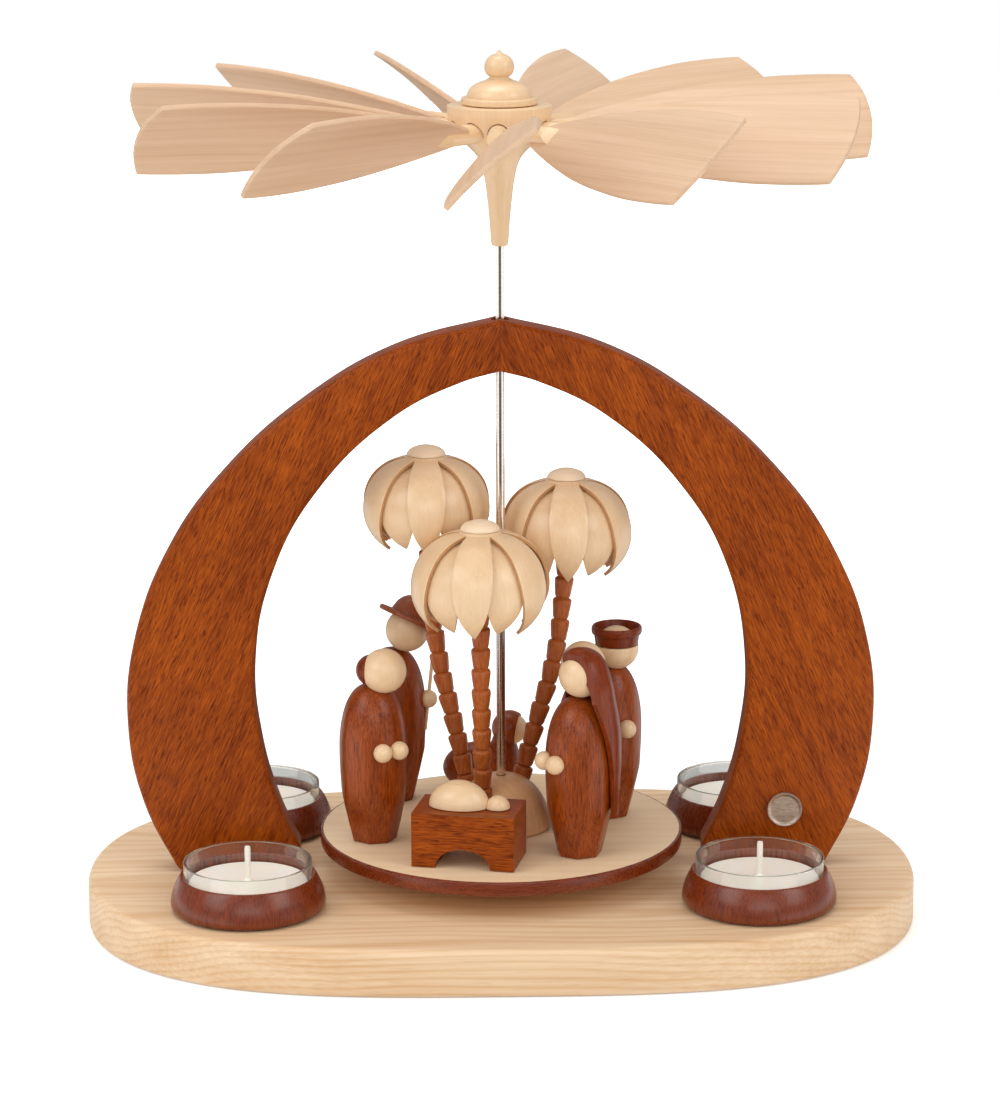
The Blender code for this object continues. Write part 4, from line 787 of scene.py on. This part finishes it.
# %% Tealights
RING = soft([(0, 0), (0, 0), (22.4, 0), (22.4, 0), (24.7, 0.25), (25.75, 1.5), (25.85, 3.4), (25.2, 6.3),
             (24.0, 9.2), (22.9, 11.3), (22.3, 11.8), (21.95, 11.7), (21.8, 11.4), (21.8, 11.4),
             (21.8, 1.4), (21.8, 1.4), (0, 1.4)], 5)
CUP = soft([(0, 18.0), (0, 18.0), (19.9, 18.0), (20.9, 18.3), (21.5, 19.4), (21.5, 19.4), (21.5, 31.6),
            (21.35, 32.2), (20.95, 32.4), (20.55, 32.2), (20.4, 31.6), (20.4, 30.0), (20.4, 30.0),
            (20.4, 20.4), (20.0, 19.5), (19.3, 19.2), (19.3, 19.2), (0, 19.2)], 4)
WAX = soft([(0, 19.5), (0, 19.5), (18.9, 19.5), (19.7, 20.3), (19.7, 20.3), (19.9, 25.0), (19.6, 25.5),
            (18.6, 25.55), (12.0, 25.25), (5.0, 25.25), (2.2, 25.45), (1.05, 26.1), (1.05, 26.1),
            (0.95, 26.6), (0.95, 26.6), (0, 26.6)], 4)
WICK = [(0, 26.3), (0.95, 26.3), (1.0, 27.0), (0.98, 32.0), (1.0, 36.6), (0.85, 37.5), (0, 37.7)]
RING_X, RING_Y = 85.6, 44.15
for number, (i, j) in enumerate([(-1, -1), (1, -1), (-1, 1), (1, 1)], 1):
    spun = at(i * RING_X, j * RING_Y) @ turn("Z", 67 * number)
    finish(f"ring_turned_{number}", lathe(RING, 96), at(z=SEAT) @ spun, stained, f"tealight_ring_{number}")
    finish(f"cup_pressed_{number}", lathe(CUP, 96), spun, glass, f"glass_cup_{number}")
    finish(f"wax_cast_{number}", lathe(WAX, 96), spun, wax, f"candle_{number}", smooth=50)
    finish(f"wick_cotton_{number}", lathe(WICK, 24), spun, cotton, f"candle_{number}", smooth=50)
print("tealights: 4")

# %% [markdown]
# ## Hub and cap
# The hub is a turned bowl that runs down into a slender neck. Round its side are eleven holes for the
# stems of the blades. They are bored at the blades' own angles, so the cutter is one set of rods.

# %% Hub and cap
BLADES, FAN_HEIGHT, FIRST_BLADE = 11, 270.5, -92.6
BLADE_DROOP, BLADE_PITCH, STEM_SEAT = -1.6, 41, 13.8


def blade_frame(index):
    """The frame of a blade: X out along its stem, Y across the blade."""
    heading = turn("Z", FIRST_BLADE + index * 360 / BLADES)
    return at(z=FAN_HEIGHT) @ heading @ turn("Y", BLADE_DROOP) @ at(STEM_SEAT) @ turn("X", BLADE_PITCH)


HUB_TOP = [(0, 279.1), (17.0, 279.1), (17.35, 278.95), (17.4, 278.6)]
HUB_BOWL = soft([(17.4, 278.6), (17.4, 278.6), (17.4, 276.6), (17.4, 276.6), (16.9, 274.6), (15.7, 271.7),
                 (13.1, 267.8), (9.9, 264.8), (7.4, 262.0), (5.9, 258.6), (4.9, 253.9), (4.2, 248.5),
                 (3.6, 242.5), (3.15, 236.5), (2.95, 233.6), (2.7, 232.5), (2.3, 232.2), (2.3, 232.2)], 4)
HUB_BORE = [(1.8, 232.2), (1.8, 273.2), (0, 273.2)]
hub = lathe(HUB_TOP + HUB_BOWL + HUB_BORE, 96)
socket_rod = [(0, 4.2), (3.6, 4.2), (3.6, 0), (1.9, 0), (1.9, -4.6), (0, -4.6)]
sockets = gather([moved(lathe(socket_rod, 32), blade_frame(k) @ turn("Y", 90)) for k in range(BLADES)])
finish("hub_turned", carve(hub, sockets), at(), maple, "fan_hub", smooth=32)
CAP = soft([(0, 279.4), (0, 279.4), (12.3, 279.4), (12.3, 279.4), (12.6, 279.7), (12.6, 281.2),
            (12.3, 281.5), (12.3, 281.5), (10.75, 281.55), (10.75, 281.55), (10.6, 282.8), (9.7, 284.5),
            (7.6, 286.0), (5.0, 287.0), (3.5, 287.75), (3.1, 288.3), (3.1, 288.3), (4.2, 289.2),
            (4.85, 290.9), (4.75, 292.6), (3.9, 294.3), (2.6, 295.3), (1.5, 295.7), (1.5, 295.7),
            (0.75, 296.3), (0.35, 296.9), (0, 297.1)], 5)
finish("cap_finial", lathe(CAP, 80), at(), maple, "hub_cap", smooth=32)
print("hub with", BLADES, "sockets")

# %% [markdown]
# ## Fan blades
# A blade is a thin sheet of limewood, steamed to a slight hollow and let into the slit end of a round
# stem. Its outline widens from the root along one curve and ends in a shallow arc, so a node tree
# draws it by rule: a grid of points, moved to a width that a curve gives for each share of the length.


# %% Blade sheet by rule
def curve_of(value, points):
    """A float curve through (share, value) points."""
    node = add(value.tree, "ShaderNodeFloatCurve", {"Value": value})
    curve = node.mapping.curves[0]
    while len(curve.points) < len(points):
        curve.points.new(0.5, 0.5)
    for knot, place in zip(curve.points, points):
        knot.location = place
    node.mapping.update()
    return Wire(node.outputs[0])


def new_tree(name, **numbers):
    """A geometry tree with named number inputs. Returns the tree, its inputs by name and its output."""
    tree = bpy.data.node_groups.new(name, "GeometryNodeTree")
    tree.interface.new_socket("Geometry", in_out="INPUT", socket_type="NodeSocketGeometry")
    for key, value in numbers.items():
        kind = "NodeSocketInt" if isinstance(value, int) else "NodeSocketFloat"
        tree.interface.new_socket(key.replace("_", " "), in_out="INPUT",
                                  socket_type=kind).default_value = value
    tree.interface.new_socket("Geometry", in_out="OUTPUT", socket_type="NodeSocketGeometry")
    return tree, wires(tree, "NodeGroupInput"), add(tree, "NodeGroupOutput").inputs[0]


def end_tree(tree, geometry, material, output):
    """The end of every tree: real mesh, with its finish set."""
    real = wire(tree, "GeometryNodeRealizeInstances", {"Geometry": geometry})
    plug(wire(tree, "GeometryNodeSetMaterial", {"Geometry": real, "Material": material}), output)


def run_tree(tree, data=None, **values):
    """Give an object the tree with these values, and return what it makes as a plain mesh."""
    host = in_scene(tree.name, data or bpy.data.meshes.new(tree.name))
    modifier = host.modifiers.new(tree.name, "NODES")
    modifier.node_group = tree
    for socket in tree.interface.items_tree:
        key = socket.name.replace(" ", "_")
        if socket.in_out == "INPUT" and key in values:
            modifier[socket.identifier] = values[key]
    return evaluated(host)


def grid_shares(tree, rows, columns):
    """A grid with the share along it, 0 to 1, and the share across it, -1 to 1."""
    size = {"Size X": 1.0, "Size Y": 1.0, "Vertices X": rows, "Vertices Y": columns}
    axes = wires(tree, "ShaderNodeSeparateXYZ", {0: wire(tree, "GeometryNodeInputPosition")})
    return wire(tree, "GeometryNodeMeshGrid", size, "Mesh"), axes["X"] + 0.5, axes["Y"] * 2.0


def place_points(tree, geometry, x, y, z):
    """Move every point of a grid to its own place."""
    spot = wire(tree, "ShaderNodeCombineXYZ", {0: x, 1: y, 2: z})
    return wire(tree, "GeometryNodeSetPosition", {"Geometry": geometry, "Position": spot})


BLADE_SHARES = [(0, 0.20), (0.10, 0.38), (0.26, 0.62), (0.42, 0.81), (0.60, 0.94), (0.76, 1.0),
                (0.90, 0.99), (1, 0.955)]
blade_tree, size, output = new_tree("fan blade sheet", Root=8.7, Corner=107.4, Half_width=19.0,
                                    End_bulge=3.8, Hollow=1.5)
sheet, run, side = grid_shares(blade_tree, 56, 21)
width = size["Half width"] * curve_of(run, BLADE_SHARES)
arc = 1.0 - side * side
reach = size["Root"] + (size["Corner"] - size["Root"]) * run + size["End bulge"] * arc * run ** 3.0
hollow = size["Hollow"] * arc * (width / size["Half width"]) - size["Hollow"] * 0.5
end_tree(blade_tree, place_points(blade_tree, sheet, reach, side * width, hollow), limewood, output)


def thicken(mesh, thickness, rounding):
    """A sheet as a solid of that thickness with softened edges. Its sawn rim takes the second finish."""
    mesh.materials.clear()
    for _ in ("sides", "rim"):
        mesh.materials.append(None)
    solid = in_scene("sheet", mesh)
    skin = solid.modifiers.new("thickness", "SOLIDIFY")
    skin.thickness = thickness
    skin.offset = 0.0
    skin.use_even_offset = True
    skin.material_offset_rim = 1
    round_edges(solid, rounding, 2, 50)
    return evaluated(solid)


BLADE_THICKNESS, BLADE_EASE = 1.7, 0.35
blade_sheet = thicken(run_tree(blade_tree), BLADE_THICKNESS, BLADE_EASE)
print("blade sheet faces:", len(blade_sheet.polygons))

# %% Stems and blades
STEM = [(0, 20.7), (3.3, 20.7), (3.3, 0.3), (3.05, 0), (1.6, 0), (1.6, -4.1), (1.4, -4.3), (0, -4.3)]
WEDGE, WEDGE_END, WEDGE_HALF = 33, 20.2, 0.6


def stem():
    """A round stem with its tenon, sawn to a wedge over the sheet."""
    rod = moved(lathe(STEM, 48), turn("Y", 90))
    slope = math.radians(WEDGE)
    for up in (1, -1):
        saw(rod, (WEDGE_END, 0, up * WEDGE_HALF), (math.sin(slope), 0, up * math.cos(slope)))
    return rod


for k in range(BLADES):
    name = f"{k + 1:02d}"
    finish("sheet_" + name, to_shape(blade_sheet), blade_frame(k), limewood, "blade_" + name,
           grain="X")
    finish("stem_" + name, stem(), blade_frame(k), maple, "blade_" + name, grain="X")
print("blades:", BLADES)

# %% [markdown]
# ## The palms
# Each trunk is a string of small turned barrels threaded on a bent wire, narrow at the foot and wide
# at the shoulder. A node tree makes it by rule from the bent line: the number of barrels comes in by
# name, and the radius repeats once for each barrel.

# %% Trunks by rule
BEND = [(0, 0), (0.13, 0.20), (0.25, 0.42), (0.36, 0.64), (0.50, 0.84), (0.70, 0.96), (1, 1)]
BARREL_RADIUS, POINTS_PER_BARREL, POINTS_PER_BEND = 3.3, 26.0, 6
BARREL_SHARES = [(0, 0.56), (0.05, 0.75), (0.13, 0.82), (0.34, 0.88), (0.62, 0.96), (0.80, 1.0),
                 (0.90, 0.98), (0.96, 0.86), (1, 0.56)]
INTO_CROWN = 4.5  # how far below the top of its crown a trunk ends
PALMS = {  # foot of the trunk, top of the crown, spread, drop, turn of the crown, barrels
    "front": ((-6.46, -9.86, 39.7), (-7.18, -17.47, 139.1), 23.6, 33.4, 22, 13),
    "left": ((-10.88, 3.40, 40.06), (-25.08, 15.29, 158.0), 22.4, 31.2, 30, 16),
    "right": ((6.46, 6.46, 41.88), (22.96, 14.98, 149.6), 22.9, 32.5, 30, 14)}
trunk_tree, size, output = new_tree("palm trunk", Barrels=14, Radius=BARREL_RADIUS)
line = wire(trunk_tree, "GeometryNodeResampleCurve",
            {"Curve": size["Geometry"], "Count": size["Barrels"] * POINTS_PER_BARREL})
along = wire(trunk_tree, "GeometryNodeSplineParameter", output="Factor")
swell = curve_of(maths("FRACT", along * size["Barrels"]), BARREL_SHARES)
section = wire(trunk_tree, "GeometryNodeCurvePrimitiveCircle", {"Resolution": 28, "Radius": 1.0}, "Curve")
tube = {"Curve": line, "Profile Curve": section, "Fill Caps": True, "Scale": swell * size["Radius"]}
end_tree(trunk_tree, wire(trunk_tree, "GeometryNodeCurveToMesh", tube), oiled, output)


def trunk_line(foot, end):
    """The bent line from foot to end. BEND gives how far it has leant at each share of its height."""
    points = []
    for (r0, l0), (r1, l1) in zip(BEND, BEND[1:]):
        points += [(r0 + (r1 - r0) * s / POINTS_PER_BEND, l0 + (l1 - l0) * s / POINTS_PER_BEND)
                   for s in range(POINTS_PER_BEND)]
    points.append((1.0, 1.0))
    curve = bpy.data.curves.new("trunk line", "CURVE")
    curve.dimensions = "3D"
    spline = curve.splines.new("POLY")
    spline.points.add(len(points) - 1)
    for point, (up, lean) in zip(spline.points, points):
        point.co = (foot[0] + (end[0] - foot[0]) * lean, foot[1] + (end[1] - foot[1]) * lean,
                    foot[2] + (end[2] - foot[2]) * up, 1.0)
    return curve


for name, (foot, top, _, _, _, barrels) in PALMS.items():
    line = trunk_line(foot, (top[0], top[1], top[2] - INTO_CROWN))
    trunk = to_shape(run_tree(trunk_tree, line, Barrels=barrels, Radius=BARREL_RADIUS))
    finish(f"trunk_{name}", trunk, at(), oiled, f"palm_{name}_trunk", smooth=50)
print("trunks with", [palm[5] for palm in PALMS.values()], "barrels")

# %% [markdown]
# The crowns are turned as thin bells and then sawn into fronds, six outer ones over six inner ones.
# The tree below bends one strip down the side of such a bell, repeats it round the crown twice, and
# realizes the copies. Its inputs are the spread, the drop and the turn of the crown.

# %% Crowns by rule
FRONDS = 6  # in each layer
FROND_THICKNESS, FROND_EASE, LAYER_STEP = 1.1, 0.3, 1.7
# The half width of an outer and of an inner frond along its length, as a share of half its sector.
FROND_SHARES = [
    [(0, 0.94), (0.06, 0.88), (0.26, 0.67), (0.42, 0.61), (0.56, 0.55), (0.78, 0.38), (0.89, 0.22),
     (1, 0.01)],
    [(0, 1.0), (0.30, 0.85), (0.50, 0.70), (0.65, 0.61), (0.78, 0.50), (0.89, 0.33), (0.96, 0.16),
     (1, 0.01)]]
START, REACH, SHOULDER = 0.03 * math.pi, 0.77 * math.pi, 0.72
crown_tree, size, output = new_tree("palm crown", Spread=22.0, Drop=32.0, Turn=0.5)
layers = add(crown_tree, "GeometryNodeJoinGeometry")
rise = size["Drop"] / (1 - math.cos(REACH))
for layer in (1, 0):
    sunk = FROND_THICKNESS / 2 + LAYER_STEP * layer
    strip, run, side = grid_shares(crown_tree, 26, 11)
    slope = run * (REACH - START) + START
    heading = curve_of(run, FROND_SHARES[layer]) * side * (math.pi / FRONDS)
    power = maths("GREATER_THAN", slope, math.pi / 2) * (1 - SHOULDER) + SHOULDER
    reach = (size["Spread"] - sunk) * maths("SINE", slope) ** power
    height = (rise - sunk) * maths("COSINE", slope) - (rise + FROND_THICKNESS / 2)
    out_x = reach * maths("COSINE", heading)
    out_y = reach * maths("SINE", heading)
    frond = place_points(crown_tree, strip, out_x, out_y, height)
    step = (wire(crown_tree, "GeometryNodeInputIndex") + layer / 2) * (math.tau / FRONDS)
    spin = wire(crown_tree, "ShaderNodeCombineXYZ", {2: step + size["Turn"]})
    middle = wire(crown_tree, "GeometryNodeMeshLine", {"Count": FRONDS, "Offset": (0.0, 0.0, 0.0)})
    around = {"Points": middle, "Instance": frond, "Rotation": spin}
    plug(wire(crown_tree, "GeometryNodeInstanceOnPoints", around), layers.inputs[0])
end_tree(crown_tree, Wire(layers.outputs[0]), maple, output)

for name, (_, top, spread, drop, crown_turn, _) in PALMS.items():
    bell = run_tree(crown_tree, Spread=spread, Drop=drop, Turn=math.radians(crown_turn))
    fronds = thicken(bell, FROND_THICKNESS, FROND_EASE)
    boss = lathe(soft([(0, 0), (0, 0), (6.5, -0.1), (6.5, -0.1), (7.6, -1.6), (8.0, -3.4), (7.6, -4.2),
                       (7.6, -4.2), (0, -4.2)], 3), 40)
    button = lathe(soft([(0, -0.05), (0, -0.05), (6.0, 0.0), (6.55, 0.35), (6.55, 0.7), (5.3, 2.05),
                         (2.9, 3.0), (1.2, 3.27), (0, 3.3)], 5), 56)
    # The frond rims take the second finish, browner as painted shade between the fronds.
    finish(f"crown_{name}", gather([to_shape(fronds), boss]), at(*top), [maple, sawn_rim_shade_maple],
           f"palm_{name}_crown", smooth=45)
    finish(f"button_{name}", button, at(*top), pale_maple, f"palm_{name}_button")
print("crowns: 3, fronds in each:", 2 * FRONDS)

# %% Mound
MOUND = soft([(1.8, 48.2), (1.8, 48.2), (4.5, 48.0), (8.4, 46.6), (12.0, 43.6), (14.9, 39.2), (16.5, 34.6),
              (17.0, 31.2), (16.8, 30.2), (16.8, 30.2), (1.8, 30.2)], 5)
finish("mound_turned", lathe(MOUND, 72, closed=True), at(), beech, "palm_mound")
print("mound 34 mm across")

# %% [markdown]
# ## The figures
# A figure is a turned body of mahogany with a ball for a head and smaller balls for hands, without
# faces. The foot of the robe is planed to seven flats, which die out up its side. What each one wears
# on its head is turned as well.

# %% Figures
FOOT = 30.2  # the top of the stage, where the figures stand
HEAD_RADIUS, HAND_RADIUS, SEATING = 7.6, 3.2, 0.15
ROBE_RADIUS, HAND_RISE, HAND_OUT = 11.5, 33.5, 1.07
BODY = [(0, 0), (0, 0), (8.05, 0), (8.05, 0), (8.8, 3.8), (9.6, 8.3), (10.6, 14.0), (11.05, 19.3),
        (ROBE_RADIUS, 30.3), (11.2, 38.3), (9.7, 45.9), (7.2, 51.2), (4.2, 53.9), (0, 55.0)]


def robe(girth, start):
    """A turned body whose foot is planed to seven flats."""
    planed = bmesh.new()
    bmesh.ops.create_cone(planed, cap_ends=True, segments=7, radius1=7.6 * girth, radius2=22.6 * girth,
                          depth=60, matrix=turn("Z", start) @ at(z=29.9))
    return carve(lathe(soft([(r * girth, z) for r, z in BODY], 5), 64), planed, "INTERSECT")


def aside(degrees, distance, x=0.0, y=0.0, z=0.0):
    """The place at this heading and distance from another."""
    return at(x + distance * math.cos(math.radians(degrees)),
              y + distance * math.sin(math.radians(degrees)), z)


FIGURES = {  # place, girth, head, headings of the hands, turn of the flats, node of the head
    "front_left": ((-43.8, -13.3), 1.0, (4.0, -2.3, 59.7), (-74, -45), 12, "front_left_head"),
    "shepherd": ((-37.3, 33.3), 1.0, (5.2, -2.3, 61.7), (-10,), 33, "shepherd_head"),
    "veiled": ((25.65, -31.5), 1.0, (0.5, -1.5, 62.6), (-163, -133), 20, "veiled_head"),
    "rear": ((28.6, -7.4), 0.852, (-0.8, -1.5, 60.0), (), 5, "rear_figure"),
    "crowned": ((37.6, 12.35), 1.0, (2.7, -0.8, 60.0), (-62,), 28, None)}
STAFF_HAND_RISE = 36.5
HAIR_RADIUS = 5.4
HAIR_AT = aside(166, HEAD_RADIUS + 2.1 - HAIR_RADIUS)


def head_at(name):
    (x, y), head = FIGURES[name][0], FIGURES[name][2]
    return at(x, y, FOOT) @ at(*head)


for name, ((x, y), girth, head, headings, flats, head_node) in FIGURES.items():
    node = "rear_figure" if name == "rear" else f"{name}_body"
    body = carve(robe(girth, flats), moved(ball(HEAD_RADIUS + SEATING), at(*head)))
    if name == "front_left":
        body = carve(body, moved(ball(HAIR_RADIUS + SEATING), at(*head) @ HAIR_AT))
    finish(f"robe_{name}", body, at(x, y, FOOT), burnished, node, smooth=24)
    if head_node:
        finish(f"head_{name}", ball(HEAD_RADIUS), head_at(name), maple, head_node)
    rise = STAFF_HAND_RISE if name == "shepherd" else HAND_RISE
    for number, heading in enumerate(headings, 1):
        place = aside(heading, ROBE_RADIUS * girth + HAND_OUT, x, y, FOOT + rise)
        finish(f"hand_{name}_{number}", ball(HAND_RADIUS, 32), place, maple, node)
print("robes and heads:", len(FIGURES))

# %% [markdown]
# The bare-headed figure wears a lens of dark hair at the back of its head. The hat is a dome over a thin
# brim, worn tipped. The veil was turned as a shell and then sawn on a slant, and the crown is a cup
# with a beaded rim. The staff is a thin pale rod.

# %% Headwear and staff
hat_wood = timber("lacquered mahogany for the hat", "#A8582C", "#82391A", "#5C240F", (3.0, 0.10, 1.5, 2.0),
                  (9, 0.5, 0.5), (20, 5, 0.3), (3.0, 0.4, 0.55), 0.34, shine=0.5)
hair = carve(moved(ball(HAIR_RADIUS), HAIR_AT), ball(HEAD_RADIUS - 0.1))
finish("hair_lens", hair, head_at("front_left"), deep_stained, "front_left_head", smooth=40)

HAT = soft([(0, 3.2), (0, 3.2), (11.9, 3.2), (11.9, 3.2), (12.2, 3.5), (12.2, 4.5), (11.8, 4.9),
            (11.8, 4.9), (8.1, 5.0), (8.1, 5.0), (7.75, 6.6), (6.9, 8.9), (5.2, 10.9), (2.9, 12.0),
            (0, 12.3)], 5)
hat = carve(lathe(HAT, 80), ball(HEAD_RADIUS + SEATING))
finish("hat_turned", hat, head_at("shepherd") @ turn("X", -13) @ turn("Y", 24), hat_wood, "shepherd_hat",
       smooth=40)
x, y = FIGURES["shepherd"][0]
staff = lathe([(0, 0), (0.45, 0), (0.6, 0.3), (0.6, 26.6), (0.45, 27), (0, 27)], 24)
staff_at = aside(-10, ROBE_RADIUS + HAND_OUT, x, y, FOOT + STAFF_HAND_RISE) @ turn("Y", 6) @ at(z=-11.34)
finish("staff_rod", staff, staff_at, maple, "shepherd_body")

(x, y), head = FIGURES["veiled"][0], FIGURES["veiled"][2]
outer = [(0, 9.3), (3.1, 8.8), (6.0, 7.2), (8.1, 4.5), (9.4, 1.3), (10.5, -2.5), (11.7, -8.0),
         (13.0, -13.5), (14.0, -20.0), (14.1, -30.0), (13.6, -39.0), (13.1, -48.4)]
inner = [(0, 6.5), (3.1, 6.2), (5.6, 4.5), (6.6, 2.0), (7.2, -0.8), (9.3, -5.5), (10.6, -10.5),
         (11.6, -15.0), (12.15, -20.0), (12.15, -30.0), (12.15, -39.0), (12.1, -48.4)]
veil = lathe(soft(outer) + soft(inner)[::-1], 112)
LEAN_FROM, LEAN_RISE = -16, 12  # over this height the shell leans from the body to the head
for vertex in veil.verts:
    share = min(1.0, max(0.0, (vertex.co.z - LEAN_FROM) / LEAN_RISE))
    vertex.co.x += head[0] * share
    vertex.co.y += head[1] * share
over_head = at(head[0], head[1])
veil = carve(veil, moved(ball(HEAD_RADIUS + 0.05, 64), over_head))
opening = soft([(4.8, 30), (4.8, 30), (4.8, -4.0), (4.4, -9.0), (1.2, -20), (-1.3, -31), (-3.0, -50),
                (-3.0, -50)], 4)
opening = [(60, 30)] + opening + [(60, -50)]
front_cut = stack([(opening, -40), (opening, 40)])
veil = carve(veil, moved(front_cut, over_head @ turn("Z", -130) @ turn("X", 90)))
side_cut = block((5.7, 60), (-60, 60), (-60, 30))
veil = carve(veil, moved(side_cut, over_head @ turn("Z", 180) @ turn("Y", 5)))
finish("veil_sawn", moved(veil, at(z=head[2])), at(x, y, FOOT), deep_stained, "veiled_veil",
       smooth=40)

SKULL = soft([(0, -7.6), (2.2, -7.27), (4.4, -6.2), (6.2, -4.4), (7.27, -2.2), (7.6, 0), (7.5, 1.2),
              (7.5, 1.2), (6.1, 1.2), (6.1, 1.2), (6.1, 4.5), (4.6, 6.05), (2.4, 7.2), (0, 7.6)], 5)
finish("head_crowned", lathe(SKULL, 64), head_at("crowned"), maple, "crowned_head")
CROWN = soft([(6.4, 1.5), (6.4, 1.5), (7.3, 1.5), (7.3, 1.5), (7.5, 2.4), (7.85, 5.0), (7.85, 5.0),
              (8.4, 5.1), (8.7, 5.8), (8.7, 7.0), (8.45, 7.7), (8.1, 7.9), (7.8, 7.7), (7.4, 6.6),
              (6.8, 4.6), (6.4, 3.4), (6.4, 3.4), (6.4, 1.5)], 4)[:-1]
finish("crown_cup", lathe(CROWN, 72, closed=True), head_at("crowned"), deep_stained, "crowned_crown")
print("headwear: hair, hat, veil, crown")

# %% [markdown]
# ## Kneeling figure and crib
# The figure at the back kneels low with its hooded head bowed. The crib is a block with an arch sawn
# through its foot, and the infant on it is two half rounds.

# %% Kneeling figure
KNEELER_AT = at(-6.24, 46.8, FOOT)
back = moved(ball(1.0), at(z=6.72) @ Matrix.Diagonal((13.6, 7.5, 9.28, 1)))
SHOULDERS = soft([(0, 0), (0, 0), (6.3, 0), (6.3, 0), (6.2, 5), (5.4, 9.5), (4.2, 13.5), (3.2, 15.7),
                  (3.2, 15.7), (0, 15.7)], 4)
kneeling = carve(back, moved(lathe(SHOULDERS, 48), at(8.16, 0, 3.2)), "UNION")
kneeling = carve(kneeling, block((-40, 40), (-40, 40), (-20, 0)))
finish("kneeler_robe", kneeling, KNEELER_AT, burnished, "kneeler", smooth=40)
hood = carve(ball(6.4), moved(block((2.9, 20), (-20, 20), (-20, 20)), turn("Z", -12) @ turn("Y", 8)))
finish("kneeler_hood", hood, KNEELER_AT @ at(10.34, 0, 21.0), burnished, "kneeler", smooth=40)
finish("kneeler_face", ball(5.5), KNEELER_AT @ at(11.14, -0.2, 20.8), maple, "kneeler")
print("kneeler: robe, hood, face")

# %% Crib and infant
CRIB_TOP = 18.4
crib_frame = at(-11.6, -37.6, FOOT) @ turn("Z", -12.6)
on_crib = crib_frame @ at(z=CRIB_TOP + 0.3)
arch_cut = lathe([(0, -14), (1, -14), (1, 14), (0, 14)], 64)
moved(arch_cut, turn("X", 90) @ Matrix.Diagonal((9.35, 6.7, 1, 1)))
crib_shape = carve(block((-17.4, 17.4), (-11, 11), (0, CRIB_TOP)), arch_cut)
crib = in_scene("crib_solid", to_mesh("crib", crib_shape))
round_edges(crib, 0.5, 3, 40)
finish("crib_block", to_shape(evaluated(crib)), crib_frame, mahogany, "crib", grain="X",
       smooth=40)
below = [(-20, 20), (-20, 20), (-20, 0)]
swaddle = carve(moved(ball(1.0, 64), Matrix.Diagonal((10.3, 7.0, 8.7, 1))), block(*below))
finish("infant_body", swaddle, on_crib @ at(-3.28), maple, "infant", grain="X", smooth=50)
finish("infant_head", carve(ball(4.1, 40), block(*below)), on_crib @ at(9.9), maple, "infant",
       smooth=50)
print("crib 34.8 mm long")

# %% Finish
boxes = {"cad": [list(corner) for corner in cad_box], "visual": [list(corner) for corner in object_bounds()]}
print("sizes in mm:", {key: [round((hi - lo) * 1000, 1) for lo, hi in zip(*box)]
                       for key, box in boxes.items()})
